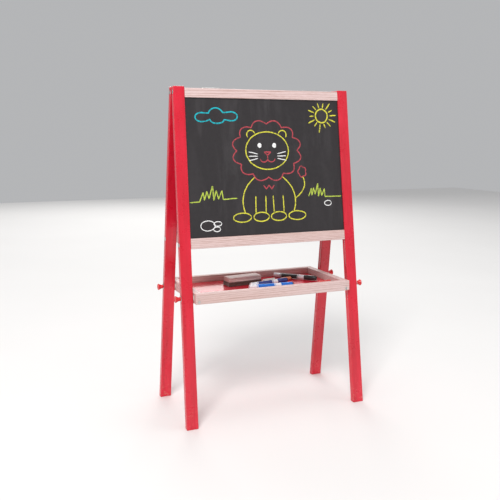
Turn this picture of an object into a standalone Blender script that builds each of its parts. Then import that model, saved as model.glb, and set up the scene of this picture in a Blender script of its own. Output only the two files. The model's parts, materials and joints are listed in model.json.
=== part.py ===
"""Children's double-sided A-frame easel: a chalkboard in front, a whiteboard behind, and a tray between them.

Metres, +Z up. The origin is on the floor under the middle of the easel, the chalkboard faces -Y and +X is
to the right of a child who draws on it. Each of the two identical frames is drawn in its own coordinates:
x across, y through the wood (negative is outwards, away from the other frame) and z along the legs, with
z = 0 on the hinge axis at the top. An empty on that axis then leans the frame to its place.
"""
import math

import bmesh
import bpy
from mathutils import Matrix, Vector

# ---- driving dimensions -------------------------------------------------------------------------------
WIDTH = 0.520            # over the outer faces of the legs
HEIGHT = 0.868           # floor to the top of the legs
LEAN = math.radians(6.95)  # each frame's lean from the vertical when the easel stands open
FIT_GAP = 0.0003         # between pieces that touch
OVERRUN = 0.005          # how far a cutter starts outside the face that it cuts into

LEG_FACE = 0.031         # a leg's width, seen from the front
LEG_THICK = 0.015
LEG_OVER_AXIS = 0.001    # the legs end this far above the hinge axis
FOLDED_GAP = 0.004       # between the two frames when they are folded flat
EDGE_ROUND = 0.0016

TOP_RAIL = (-0.0280, -0.0030)      # z of each rail's lower and upper edge, in the frame's coordinates
BOTTOM_RAIL = (-0.4203, -0.3933)
BOARD_THICK = 0.0032
BOARD_SETBACK = 0.004    # the board's face behind the wood's face
GROOVE_DEPTH = 0.006
BOARD_INSERTION = 0.0055 # how far the board reaches into its grooves

RAIL_BOLT_R = 0.003
RAIL_BOLT_HOLE_R = 0.0034
RAIL_BOLT_HOLE_DEEP = 0.025        # into the rail's end
RAIL_BOLT_LENGTH = 0.046
BOLT_HEAD_R = 0.006
BOLT_HEAD_THICK = 0.0034
BOLT_SOCKET_R = 0.0024
BOLT_SOCKET_DEEP = 0.0020
COUNTERBORE_R = 0.0066
COUNTERBORE_DEPTH = 0.0040
NUT_HOLE_R = 0.0053      # the barrel nuts' holes, in the rails' inner faces
NUT_HOLE_DEEP = 0.0132
NUT_FROM_RAIL_END = 0.014

HINGE_X = 0.150          # each hinge's middle, left and right
HINGE_LENGTH = 0.050
HINGE_KNUCKLES = 5
KNUCKLE_R = 0.0022
PIN_R = 0.0010
LEAF_THICK = 0.0011
LEAF_LOW = -0.0240       # z of a leaf's lower edge
HINGE_SCREW_Z = -0.0140
HINGE_SCREW_PITCH = 0.017
HINGE_SCREW_R = 0.0019
HINGE_SCREW_DEEP = 0.0125
COUNTERSINK_R = (0.0022, 0.0034)   # at the leaf's back and front

TRAY_WIDTH = 0.4535
TRAY_FRONT = -0.0968
TRAY_BACK = 0.1215
TRAY_BOTTOM = 0.3117
TRAY_RAIL_HEIGHT = 0.0273
TRAY_RAIL_THICK = 0.015  # front and back rails
TRAY_SIDE_THICK = 0.018
TRAY_FLOOR_THICK = 0.004
TRAY_FLOOR_RISE = 0.005  # the floor's underside above the rails' lower edges
TRAY_GROOVE = 0.005
TRAY_SCREW_INSET = 0.0095
TRAY_SCREW_RISE = 0.006
TRAY_SCREW_LENGTH = 0.030
TRAY_SCREW_SHANK_R = 0.0014
TRAY_SCREW_HEAD_R = 0.0036

KNOB_BOLT_R = 0.003
KNOB_BOLT_HOLE_R = 0.0034
KNOB_LENGTH = 0.0142
KNOB_NECK_R = 0.0050
KNOB_RIM_R = 0.0085
KNOB_FOOT = 0.0022       # from the knob's foot to its neck
KNOB_RIM_ROUND = 0.0016  # from its widest ring to its end
KNOB_BORE = 0.009
WASHER_R = 0.0075
WASHER_THICK = 0.0010
SPACER_R = 0.0080
INSERT_HOLE_R = 0.0048   # the threaded inserts' holes, in the tray's side rails
INSERT_HOLE_DEEP = 0.0118
KNOB_BOLT_IN_TRAY = 0.0110         # how far a front bolt reaches into the tray

MARKER_R = 0.0063
CAP_R = 0.0070
CAP_START = 0.0925       # from the marker's tail
CAP_LENGTH = 0.0375
CAP_BORE_R = 0.0054
CHALK_R = 0.0048
ERASER_SIZE = (0.105, 0.036, 0.0250)
ERASER_FELT = 0.0110

# ---- what follows from them ---------------------------------------------------------------------------
COS, SIN = math.cos(LEAN), math.sin(LEAN)
INNER_Y = -FOLDED_GAP / 2
OUTER_Y = INNER_Y - LEG_THICK
MIDDLE_Y = (INNER_Y + OUTER_Y) / 2
AXIS_Z = HEIGHT + OUTER_Y * SIN - LEG_OVER_AXIS * COS
LEG_IN = WIDTH / 2 - LEG_FACE           # x of a leg's inner side
BOARD_Y = (OUTER_Y + BOARD_SETBACK, OUTER_Y + BOARD_SETBACK + BOARD_THICK)
BOLT_Z = (TOP_RAIL[1] - 0.0105, sum(BOTTOM_RAIL) / 2 - 0.002)

TRAY_TOP = TRAY_BOTTOM + TRAY_RAIL_HEIGHT
TRAY_MIDDLE_Z = (TRAY_TOP + TRAY_BOTTOM) / 2
TRAY_FLOOR_TOP = TRAY_BOTTOM + TRAY_FLOOR_RISE + TRAY_FLOOR_THICK
PIVOT_S = (TRAY_MIDDLE_Z - AXIS_Z + MIDDLE_Y * SIN) / COS    # the knob bolts, in the frame's z
PIVOT_Y = MIDDLE_Y * COS + PIVOT_S * SIN                     # and in the world's y, on the front frame
TRAY_SIDE_X = TRAY_WIDTH / 2
WASHER_X = WIDTH / 2 + FIT_GAP
KNOB_X = WASHER_X + WASHER_THICK + FIT_GAP

MARKER_Z = TRAY_FLOOR_TOP + FIT_GAP + CAP_R
CHALK_Z = TRAY_FLOOR_TOP + FIT_GAP + CHALK_R
# tail x and y, and heading in degrees from +X, of what lies in the tray
MARKERS = {
    "blue": ((-0.0475, -0.0285), -4.6),
    "navy": ((-0.0340, -0.0080), 12.0),
    "black": ((0.0891, 0.0949), -45.0),
}
CHALKS = {               # and the length that is left of each stick
    "red": ((0.1620, -0.0380), 8.0, 0.044),
    "white": ((0.0260, 0.0370), 13.0, 0.044),
    "orange": ((0.0880, 0.0400), 10.0, 0.032),
}
ERASER_PLACE = ((-0.0360, 0.0440), 6.0)

COLOURS = {              # base colour, roughness, metallic
    "red_paint": ((0.72, 0.02, 0.03), 0.32, 0.0),
    "pine": ((0.80, 0.58, 0.40), 0.55, 0.0),
    "chalkboard": ((0.040, 0.040, 0.038), 0.85, 0.0),
    "whiteboard": ((0.86, 0.86, 0.90), 0.18, 0.0),
    "zinc": ((0.62, 0.62, 0.60), 0.35, 1.0),
    "red_plastic": ((0.70, 0.015, 0.02), 0.28, 0.0),
    "nylon": ((0.80, 0.80, 0.76), 0.45, 0.0),
    "white_plastic": ((0.82, 0.82, 0.84), 0.35, 0.0),
    "blue_plastic": ((0.02, 0.22, 0.75), 0.35, 0.0),
    "navy_plastic": ((0.01, 0.03, 0.22), 0.35, 0.0),
    "black_plastic": ((0.02, 0.02, 0.02), 0.35, 0.0),
    "felt": ((0.10, 0.045, 0.035), 0.95, 0.0),
    "red_chalk": ((0.75, 0.05, 0.04), 0.9, 0.0),
    "orange_chalk": ((0.85, 0.30, 0.12), 0.9, 0.0),
    "white_chalk": ((0.88, 0.86, 0.82), 0.9, 0.0),
}


# ---- scene, materials and placing ---------------------------------------------------------------------
def start_scene():
    for obj in list(bpy.data.objects):
        bpy.data.objects.remove(obj)
    collections = {}
    for name in ("kids_easel", "easel_cutters"):
        collection = bpy.data.collections.new(name)
        bpy.context.scene.collection.children.link(collection)
        collections[name] = collection
    return collections["kids_easel"], collections["easel_cutters"]


PARTS, CUTTERS = start_scene()


def material(name):
    found = bpy.data.materials.get(name)
    if found:
        return found
    colour, roughness, metallic = COLOURS[name]
    made = bpy.data.materials.new(name)
    made.use_nodes = True
    shader = made.node_tree.nodes["Principled BSDF"]
    shader.inputs["Base Color"].default_value = (*colour, 1.0)
    shader.inputs["Roughness"].default_value = roughness
    shader.inputs["Metallic"].default_value = metallic
    return made


def empty(name, location, rotation=(0, 0, 0)):
    made = bpy.data.objects.new(name, None)
    made.location = location
    made.rotation_euler = rotation
    made.empty_display_size = 0.02
    PARTS.objects.link(made)
    return made


def new_object(name, mesh, slot=None, parent=None, place=Matrix.Identity(4)):
    """Link a mesh as a part, or as a cutter where no material slot is given."""
    obj = bpy.data.objects.new(name, mesh)
    (PARTS if slot else CUTTERS).objects.link(obj)
    obj.parent = parent
    obj.matrix_local = place
    if slot:
        # a mesh that several objects share keeps the first one's slot, so each object sets its own
        if not mesh.materials:
            mesh.materials.append(None)
        obj.material_slots[0].link = "OBJECT"
        obj.material_slots[0].material = material(slot)
    else:
        obj.hide_render = True
        obj.display_type = "WIRE"
    return obj


def mesh_from(bm, name, smooth=False):
    bmesh.ops.recalc_face_normals(bm, faces=bm.faces)
    mesh = bpy.data.meshes.new(name)
    bm.to_mesh(mesh)
    bm.free()
    if smooth:
        mesh.shade_smooth()
        mesh.set_sharp_from_angle(angle=math.radians(35))
    return mesh


# ---- shapes -------------------------------------------------------------------------------------------
def box_mesh(name, low, high):
    low, high = Vector(low), Vector(high)
    bm = bmesh.new()
    bmesh.ops.create_cube(bm, size=1.0)
    bmesh.ops.scale(bm, vec=high - low, verts=bm.verts)
    bmesh.ops.translate(bm, vec=(low + high) / 2, verts=bm.verts)
    return mesh_from(bm, name)


def axis_matrix(axis, at=(0, 0, 0)):
    """Turns +Z into the given axis, and moves the origin to at."""
    return Matrix.Translation(at) @ Vector((0, 0, 1)).rotation_difference(Vector(axis)).to_matrix().to_4x4()


def rod_mesh(name, radius, length, axis, at, top_radius=None, sides=16):
    """A cylinder or cone that starts at a point and runs along an axis."""
    bm = bmesh.new()
    bmesh.ops.create_cone(bm, cap_ends=True, segments=sides, radius1=radius, depth=length,
                          radius2=radius if top_radius is None else top_radius)
    bmesh.ops.translate(bm, vec=(0, 0, length / 2), verts=bm.verts)
    bmesh.ops.transform(bm, matrix=axis_matrix(axis, at), verts=bm.verts)
    return mesh_from(bm, name, smooth=True)


def turned_mesh(name, profile, steps=20):
    """Turn a profile of (radius, z) points about Z. It runs down the outer side, top to bottom."""
    line = bpy.data.meshes.new(name + "_profile")
    points = [(radius, 0, z) for radius, z in profile]
    line.from_pydata(points, [(i, i + 1) for i in range(len(points) - 1)], [])
    blank = new_object(name + "_blank", line)
    screw = blank.modifiers.new("Turn", "SCREW")
    screw.steps = screw.render_steps = steps
    screw.use_merge_vertices = True
    screw.merge_threshold = 0.00001
    evaluated = blank.evaluated_get(bpy.context.evaluated_depsgraph_get())
    turned = bpy.data.meshes.new_from_object(evaluated)
    bpy.data.objects.remove(blank)
    bm = bmesh.new()
    bm.from_mesh(turned)
    bmesh.ops.remove_doubles(bm, verts=bm.verts, dist=0.000001)
    return mesh_from(bm, name, smooth=True)


def round_edges(obj, width=EDGE_ROUND, segments=2):
    bevel = obj.modifiers.new("Round edges", "BEVEL")
    bevel.width = width
    bevel.segments = segments
    bevel.limit_method = "NONE"
    return obj


def cut(obj, cutter_mesh, operation="DIFFERENCE"):
    """Cut a mesh, given in the object's own coordinates, out of an object, or join it to the object."""
    cutter = new_object(f"{obj.name}_cutter_{len(obj.modifiers)}", cutter_mesh, parent=obj)
    boolean = obj.modifiers.new("Cut", "BOOLEAN")
    boolean.operation = operation
    boolean.solver = "EXACT"
    boolean.object = cutter
    return cutter


# ---- the two frames -----------------------------------------------------------------------------------
def foot_z(y):
    """Where the floor crosses a leg that leans, in the frame's z."""
    return (y * SIN - AXIS_Z) / COS


def make_leg(frame, side_name, side, pivot):
    """A leg, cut flush with the floor, bored for its rail bolts and its knob, and grooved for the board."""
    inner_x, outer_x = side * LEG_IN, side * WIDTH / 2
    low_x, high_x = sorted((inner_x, outer_x))
    mesh = box_mesh("leg", (low_x, OUTER_Y, -HEIGHT), (high_x, INNER_Y, LEG_OVER_AXIS))
    for vertex in mesh.vertices:
        if vertex.co.z < 0:
            vertex.co.z = foot_z(vertex.co.y)
    leg = round_edges(new_object(f"{frame}_{side_name}_leg", mesh, "red_paint", pivot))
    low_x, high_x = sorted((inner_x - side * OVERRUN, inner_x + side * GROOVE_DEPTH))
    cut(leg, box_mesh("groove", (low_x, BOARD_Y[0] - FIT_GAP, BOTTOM_RAIL[1] - GROOVE_DEPTH),
                      (high_x, BOARD_Y[1] + FIT_GAP, TOP_RAIL[0] + GROOVE_DEPTH)))
    for z in (*BOLT_Z, PIVOT_S):
        radius = KNOB_BOLT_HOLE_R if z == PIVOT_S else RAIL_BOLT_HOLE_R
        start = (inner_x - side * OVERRUN, MIDDLE_Y, z)
        cut(leg, rod_mesh("bolt_hole", radius, LEG_FACE + 2 * OVERRUN, (side, 0, 0), start, sides=14))
    for z in BOLT_Z:
        start = (outer_x - side * COUNTERBORE_DEPTH, MIDDLE_Y, z)
        cut(leg, rod_mesh("counterbore", COUNTERBORE_R, COUNTERBORE_DEPTH + OVERRUN, (side, 0, 0), start))


def make_rail(frame, name, span, bolt_z, pivot, hinged):
    """A rail between the legs, grooved for the board, with a bolt hole and a nut hole at each end."""
    end_x = LEG_IN - FIT_GAP
    low, high = (-end_x, OUTER_Y, span[0]), (end_x, INNER_Y, span[1])
    rail = round_edges(new_object(f"{frame}_{name}", box_mesh("rail", low, high), "pine", pivot))
    # the groove is in the edge that faces the board: the hinged rail's lower one, the other rail's upper one
    edge, into_wood = (span[0], 1) if hinged else (span[1], -1)
    low_z, high_z = sorted((edge - into_wood * OVERRUN, edge + into_wood * GROOVE_DEPTH))
    groove_y = BOARD_Y[0] - FIT_GAP, BOARD_Y[1] + FIT_GAP
    cut(rail, box_mesh("groove", (-WIDTH, groove_y[0], low_z), (WIDTH, groove_y[1], high_z)))
    for side in (-1, 1):
        bolt_start = (side * (end_x + OVERRUN), MIDDLE_Y, bolt_z)
        cut(rail, rod_mesh("bolt_hole", RAIL_BOLT_HOLE_R, RAIL_BOLT_HOLE_DEEP + OVERRUN, (-side, 0, 0),
                           bolt_start, sides=14))
        nut_start = (side * (end_x - NUT_FROM_RAIL_END), INNER_Y + OVERRUN, bolt_z)
        cut(rail, rod_mesh("nut_hole", NUT_HOLE_R, NUT_HOLE_DEEP + OVERRUN, (0, -1, 0), nut_start))
    if hinged:
        for x in hinge_screw_xs():
            cut(rail, rod_mesh("screw_hole", HINGE_SCREW_R, HINGE_SCREW_DEEP + OVERRUN, (0, -1, 0),
                               (x, INNER_Y + OVERRUN, HINGE_SCREW_Z), sides=8))


def make_board(frame, name, slot, pivot):
    half = LEG_IN + BOARD_INSERTION
    low = (-half, BOARD_Y[0], BOTTOM_RAIL[1] - BOARD_INSERTION)
    high = (half, BOARD_Y[1], TOP_RAIL[0] + BOARD_INSERTION)
    new_object(f"{frame}_{name}", box_mesh("board", low, high), slot, pivot)


def make_rail_bolts(frame, pivot):
    """Socket-head bolts, sunk in the legs' outer sides, that pull the legs onto the rails' ends."""
    top, tip = BOLT_HEAD_THICK, -RAIL_BOLT_LENGTH
    head_chamfer, tip_chamfer = 0.0006, 0.001
    bolt = turned_mesh("rail_bolt", [
        (0, top - BOLT_SOCKET_DEEP), (BOLT_SOCKET_R, top - BOLT_SOCKET_DEEP), (BOLT_SOCKET_R, top),
        (BOLT_HEAD_R - head_chamfer, top), (BOLT_HEAD_R, top - head_chamfer), (BOLT_HEAD_R, 0),
        (RAIL_BOLT_R, 0), (RAIL_BOLT_R, tip + tip_chamfer), (RAIL_BOLT_R - tip_chamfer, tip), (0, tip)],
        steps=12)
    seat_x = WIDTH / 2 - COUNTERBORE_DEPTH + FIT_GAP
    for side_name, side in sides_of(frame):
        for rail_name, z in zip(("top", "bottom"), BOLT_Z):
            place = axis_matrix((side, 0, 0), (side * seat_x, MIDDLE_Y, z))
            new_object(f"{frame}_{side_name}_{rail_name}_bolt", bolt, "zinc", pivot, place)


def sides_of(frame):
    """The rear frame is the front frame turned half round, so its own -x is on the easel's right."""
    turn = 1 if frame == "front" else -1
    return (("left", -turn), ("right", turn))


def make_frame(frame, board_name, board_slot, pivot):
    for side_name, side in sides_of(frame):
        make_leg(frame, side_name, side, pivot)
    make_rail(frame, "top_rail", TOP_RAIL, BOLT_Z[0], pivot, hinged=True)
    make_rail(frame, "bottom_rail", BOTTOM_RAIL, BOLT_Z[1], pivot, hinged=False)
    make_board(frame, board_name, board_slot, pivot)
    make_rail_bolts(frame, pivot)


# ---- the hinges ---------------------------------------------------------------------------------------
def hinge_screw_xs():
    return [centre + step * HINGE_SCREW_PITCH for centre in (-HINGE_X, HINGE_X) for step in (-1, 0, 1)]


def knuckle_span(index, centre):
    pitch = HINGE_LENGTH / HINGE_KNUCKLES
    low = centre - HINGE_LENGTH / 2 + index * pitch
    return low + FIT_GAP / 2, low + pitch - FIT_GAP / 2


def make_leaf(name, centre, own_knuckles, pivot):
    """A steel leaf on the rail's inner face, rolled round the pin at its own knuckles."""
    back_y = INNER_Y + FIT_GAP
    front_y = back_y + LEAF_THICK
    ends = centre - HINGE_LENGTH / 2 + FIT_GAP / 2, centre + HINGE_LENGTH / 2 - FIT_GAP / 2
    plate_top = -KNUCKLE_R - 2 * FIT_GAP
    plate = box_mesh("leaf", (ends[0], back_y, LEAF_LOW), (ends[1], front_y, plate_top))
    leaf = new_object(name, plate, "zinc", pivot)
    tab_low, tab_high = plate_top - LEAF_THICK, -KNUCKLE_R * 0.68
    for index in own_knuckles:
        low, high = knuckle_span(index, centre)
        cut(leaf, box_mesh("tab", (low, back_y, tab_low), (high, front_y, tab_high)), "UNION")
        cut(leaf, rod_mesh("knuckle", KNUCKLE_R, high - low, (1, 0, 0), (low, 0, 0), sides=16), "UNION")
    bore_start = (centre - HINGE_LENGTH / 2 - OVERRUN, 0, 0)
    cut(leaf, rod_mesh("bore", PIN_R + FIT_GAP, HINGE_LENGTH + 2 * OVERRUN, (1, 0, 0), bore_start, sides=12))
    skin = 0.0001            # the countersink's cone starts and ends this far outside the leaf
    for step in (-1, 0, 1):
        start = (centre + step * HINGE_SCREW_PITCH, front_y + skin, HINGE_SCREW_Z)
        cut(leaf, rod_mesh("countersink", COUNTERSINK_R[1], LEAF_THICK + 2 * skin, (0, -1, 0), start,
                           top_radius=COUNTERSINK_R[0], sides=12))


def make_hinges(front_pivot, rear_pivot):
    for side_name, side in (("left", -1), ("right", 1)):
        centre = side * HINGE_X
        make_leaf(f"front_{side_name}_hinge_leaf", centre, (0, 2, 4), front_pivot)
        make_leaf(f"rear_{side_name}_hinge_leaf", -centre, (1, 3), rear_pivot)
        head, tip = 0.0006, -HINGE_LENGTH - 0.0004
        pin = turned_mesh("hinge_pin", [
            (0, head), (KNUCKLE_R - head / 2, head), (KNUCKLE_R, 0), (PIN_R, 0), (PIN_R, tip), (0, tip)],
            steps=12)
        start = (centre + HINGE_LENGTH / 2 + FIT_GAP / 2, 0, 0)
        new_object(f"{side_name}_hinge_pin", pin, "zinc", front_pivot, axis_matrix((1, 0, 0), start))


# ---- the tray -----------------------------------------------------------------------------------------
def tray_local(x, y, z):
    """A point of the easel, in the tray's coordinates, which start on its front bolts."""
    return (x, y - PIVOT_Y, z - TRAY_MIDDLE_Z)


def tray_box(name, low, high):
    return box_mesh(name, tray_local(*low), tray_local(*high))


def make_tray(pivot):
    inner_front, inner_back = TRAY_FRONT + TRAY_RAIL_THICK, TRAY_BACK - TRAY_RAIL_THICK
    inner_x = TRAY_SIDE_X - TRAY_SIDE_THICK
    floor_low, floor_high = TRAY_BOTTOM + TRAY_FLOOR_RISE, TRAY_FLOOR_TOP

    def floor_box(name, reach, play):
        """The floor panel's box, reaching into the rails, with some play above and below it."""
        return tray_box(name, (-inner_x - reach, inner_front - reach, floor_low - play),
                        (inner_x + reach, inner_back + reach, floor_high + play))

    across = (("front", TRAY_FRONT, inner_front, -1), ("back", inner_back, TRAY_BACK, 1))
    for name, low_y, high_y, out in across:
        mesh = tray_box("rail", (-TRAY_SIDE_X, low_y, TRAY_BOTTOM), (TRAY_SIDE_X, high_y, TRAY_TOP))
        rail = round_edges(new_object(f"tray_{name}_rail", mesh, "pine", pivot))
        cut(rail, floor_box("groove", TRAY_GROOVE, FIT_GAP))
        face_y = low_y if out < 0 else high_y
        for side in (-1, 1):
            x, z = side * (TRAY_SIDE_X - TRAY_SCREW_INSET), TRAY_BOTTOM + TRAY_SCREW_RISE
            start = tray_local(x, face_y + out * 0.0005, z)
            cut(rail, rod_mesh("clearance_hole", TRAY_SCREW_SHANK_R + 0.0006, TRAY_RAIL_THICK + OVERRUN,
                               (0, -out, 0), start, sides=10))
            cut(rail, rod_mesh("countersink", TRAY_SCREW_HEAD_R + 0.0016, 0.0038, (0, -out, 0), start,
                               top_radius=TRAY_SCREW_SHANK_R, sides=12))
    for name, side in (("left", -1), ("right", 1)):
        xs = sorted((side * inner_x, side * TRAY_SIDE_X))
        mesh = tray_box("side", (xs[0], inner_front + FIT_GAP, TRAY_BOTTOM),
                        (xs[1], inner_back - FIT_GAP, TRAY_TOP))
        rail = round_edges(new_object(f"tray_{name}_rail", mesh, "pine", pivot))
        cut(rail, floor_box("groove", TRAY_GROOVE, FIT_GAP))
        for y in (PIVOT_Y, -PIVOT_Y):
            start = tray_local(side * (TRAY_SIDE_X + OVERRUN), y, TRAY_MIDDLE_Z)
            deep = INSERT_HOLE_DEEP + OVERRUN
            cut(rail, rod_mesh("insert_hole", INSERT_HOLE_R, deep, (-side, 0, 0), start))
        x, z = side * (TRAY_SIDE_X - TRAY_SCREW_INSET), TRAY_BOTTOM + TRAY_SCREW_RISE
        for y, out in ((inner_front, -1), (inner_back, 1)):
            start = tray_local(x, y + out * OVERRUN, z)
            cut(rail, rod_mesh("screw_hole", TRAY_SCREW_SHANK_R + 0.0004, TRAY_SCREW_LENGTH - 0.007,
                               (0, -out, 0), start, sides=10))
    new_object("tray_floor_panel", floor_box("floor", TRAY_GROOVE - 0.0005, 0), "red_paint", pivot)

    screw_profile = wood_screw(TRAY_SCREW_HEAD_R, TRAY_SCREW_SHANK_R, TRAY_SCREW_LENGTH)
    screw = turned_mesh("tray_screw", screw_profile, steps=12)
    spacer = ring_mesh("spacer", SPACER_R, KNOB_BOLT_HOLE_R, LEG_IN - TRAY_SIDE_X - 2 * FIT_GAP)
    for side_name, side in (("left", -1), ("right", 1)):
        for end_name, face_y, out in (("front", TRAY_FRONT, -1), ("back", TRAY_BACK, 1)):
            x, z = side * (TRAY_SIDE_X - TRAY_SCREW_INSET), TRAY_BOTTOM + TRAY_SCREW_RISE
            place = axis_matrix((0, out, 0), tray_local(x, face_y - out * 0.0004, z))
            new_object(f"tray_{end_name}_{side_name}_screw", screw, "zinc", pivot, place)
            at = tray_local(side * (TRAY_SIDE_X + FIT_GAP), -out * PIVOT_Y, TRAY_MIDDLE_Z)
            place = axis_matrix((side, 0, 0), at)
            new_object(f"tray_{end_name}_{side_name}_spacer", spacer, "nylon", pivot, place)


def wood_screw(head_r, shank_r, length):
    """Profile of a countersunk screw whose flat head is at z = 0 and whose tip points down."""
    rim = 0.0003
    return [(0, 0), (head_r, 0), (head_r, -rim), (shank_r, -rim - (head_r - shank_r)),
            (shank_r, -length + 2 * shank_r), (0, -length)]


def ring_mesh(name, outer, inner, length, steps=16):
    """A washer, a spacer or a bush that starts at the origin and runs along +Z."""
    profile = [(inner, length), (outer, length), (outer, 0), (inner, 0), (inner, length)]
    return turned_mesh(name, profile, steps)


# ---- the knobs ----------------------------------------------------------------------------------------
def knob_profile():
    """A spool-shaped thumb knob: a narrow neck at the leg, flaring to a wide rim with a dished end."""
    flare = []
    rings = 6
    for i in range(rings + 1):
        t = i / rings
        radius = KNOB_NECK_R + (KNOB_RIM_R - KNOB_NECK_R) * t ** 1.8
        flare.append((radius, KNOB_FOOT + (KNOB_LENGTH - KNOB_FOOT - KNOB_RIM_ROUND) * t))
    end = KNOB_LENGTH
    dish = [(0, end - 0.0012), (KNOB_RIM_R * 0.72, end - 0.0002), (KNOB_RIM_R * 0.9, end)]
    bore_r = KNOB_BOLT_R + FIT_GAP
    return dish + flare[::-1] + [(KNOB_NECK_R + 0.0006, 0), (bore_r, 0), (bore_r, KNOB_BORE), (0, KNOB_BORE)]


def make_knob(frame, side_name, side, pivot_frame):
    """A knob on its bolt. The front bolts carry the tray; the rear ones end at the leg's inner side."""
    hub = empty(f"{frame}_{side_name}_knob_axis", (side * KNOB_X, MIDDLE_Y, PIVOT_S))
    hub.parent = pivot_frame
    outward = axis_matrix((side, 0, 0))
    knob = turned_mesh("knob", knob_profile(), steps=24)
    new_object(f"{frame}_{side_name}_knob", knob, "red_plastic", hub, outward)
    bolt_end = TRAY_SIDE_X - KNOB_BOLT_IN_TRAY if frame == "front" else LEG_IN + FIT_GAP
    top, bottom, chamfer = KNOB_BORE - FIT_GAP, bolt_end - KNOB_X, 0.0008
    bolt = turned_mesh("knob_bolt", [(0, top), (KNOB_BOLT_R, top), (KNOB_BOLT_R, bottom + chamfer),
                                     (KNOB_BOLT_R - chamfer, bottom), (0, bottom)], steps=14)
    new_object(f"{frame}_{side_name}_knob_bolt", bolt, "zinc", hub, outward)


def make_knobs(front_pivot, rear_pivot):
    washer = ring_mesh("washer", WASHER_R, KNOB_BOLT_HOLE_R, WASHER_THICK)
    for frame, pivot in (("front", front_pivot), ("rear", rear_pivot)):
        for side_name, side in sides_of(frame):
            make_knob(frame, side_name, side, pivot)
            place = axis_matrix((side, 0, 0), (side * WASHER_X, MIDDLE_Y, PIVOT_S))
            new_object(f"{frame}_{side_name}_knob_washer", washer, "zinc", pivot, place)


# ---- what lies in the tray ----------------------------------------------------------------------------
def lying(place, heading, z):
    """+Z becomes a horizontal heading, from a point in the tray."""
    angle = math.radians(heading)
    return axis_matrix((math.cos(angle), math.sin(angle), 0), tray_local(*place, z))


def make_marker(colour, place, heading, tray_pivot):
    """A dry-wipe marker: a barrel with its nib, and a cap that pulls off along it."""
    at = lying(place, heading, MARKER_Z)
    nib_r, holder_r, neck_r, chamfer = 0.0012, 0.0021, 0.0048, 0.0012
    shoulder = CAP_START - FIT_GAP
    barrel = turned_mesh("barrel", [
        (0, CAP_START + 0.031), (nib_r, CAP_START + 0.030), (holder_r, CAP_START + 0.026),
        (neck_r - 0.0006, CAP_START + 0.022), (neck_r, CAP_START + 0.018), (neck_r, shoulder),
        (MARKER_R, shoulder), (MARKER_R, chamfer), (MARKER_R - chamfer, 0), (0, 0)], steps=16)
    new_object(f"{colour}_marker_barrel", barrel, "white_plastic", tray_pivot, at)
    end = CAP_START + CAP_LENGTH
    bore_end = end - 0.0025
    cap = turned_mesh("cap", [
        (0, end), (CAP_R - chamfer, end), (CAP_R, end - chamfer), (CAP_R, CAP_START),
        (CAP_BORE_R, CAP_START), (CAP_BORE_R, bore_end), (0, bore_end)], steps=16)
    new_object(f"{colour}_marker_cap", cap, f"{colour}_plastic", tray_pivot, at)


def make_chalk(colour, place, heading, length, tray_pivot):
    """A tapered stick of chalk."""
    chalk = turned_mesh("chalk", [
        (0, length), (CHALK_R * 0.75, length), (CHALK_R * 0.88, length - 0.001),
        (CHALK_R, 0.001), (CHALK_R - 0.0008, 0), (0, 0)], steps=14)
    new_object(f"{colour}_chalk", chalk, f"{colour}_chalk", tray_pivot, lying(place, heading, CHALK_Z))


def make_eraser(tray_pivot):
    """A wooden-backed board eraser: a felt pad under a pine grip."""
    (x, y), heading = ERASER_PLACE
    at = Matrix.Translation(tray_local(x, y, TRAY_FLOOR_TOP + FIT_GAP))
    at = at @ Matrix.Rotation(math.radians(heading), 4, "Z")
    half_x, half_y, top = ERASER_SIZE[0] / 2, ERASER_SIZE[1] / 2, ERASER_SIZE[2]
    step = 0.0005            # the felt stands proud of the grip all round
    felt = box_mesh("felt", (-half_x, -half_y, 0), (half_x, half_y, ERASER_FELT))
    round_edges(new_object("eraser_felt", felt, "felt", tray_pivot, at), width=0.001, segments=1)
    grip = box_mesh("grip", (-half_x + step, -half_y + step, ERASER_FELT + FIT_GAP),
                    (half_x - step, half_y - step, top))
    round_edges(new_object("eraser_grip", grip, "pine", tray_pivot, at), width=0.0025)


# ---- the whole easel ----------------------------------------------------------------------------------
def main():
    front = empty("front_frame_pivot", (0, 0, AXIS_Z), (-LEAN, 0, 0))
    rear = empty("rear_frame_pivot", (0, 0, AXIS_Z), (-LEAN, 0, math.pi))
    tray = empty("tray_pivot", (0, PIVOT_Y, TRAY_MIDDLE_Z))
    make_frame("front", "chalkboard", "chalkboard", front)
    make_frame("rear", "whiteboard", "whiteboard", rear)
    make_hinges(front, rear)
    make_tray(tray)
    make_knobs(front, rear)
    for colour, (place, heading) in MARKERS.items():
        make_marker(colour, place, heading, tray)
    for colour, (place, heading, length) in CHALKS.items():
        make_chalk(colour, place, heading, length, tray)
    make_eraser(tray)


main()
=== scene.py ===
"""The looks of a children's A-frame easel: a chalkboard in front, a whiteboard behind, a tray between.

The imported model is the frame. Legs, rails, boards, hinge leaves and pins, and the tray's boards keep their
CAD shape and get their finish here. Small turned pieces are rebuilt finely on their CAD nodes' own axes, and
what the CAD leaves out is added: hinge screws, barrel nuts, threaded inserts, the markers' nibs, bands,
plugs and felts, crumbs of chalk, and what is drawn on the two boards. Everything is in metres, in the
frame's coordinates.
"""
import json
import math
import random

import bmesh
import bpy
import numpy as np
from mathutils import Matrix, Vector, noise


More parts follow.
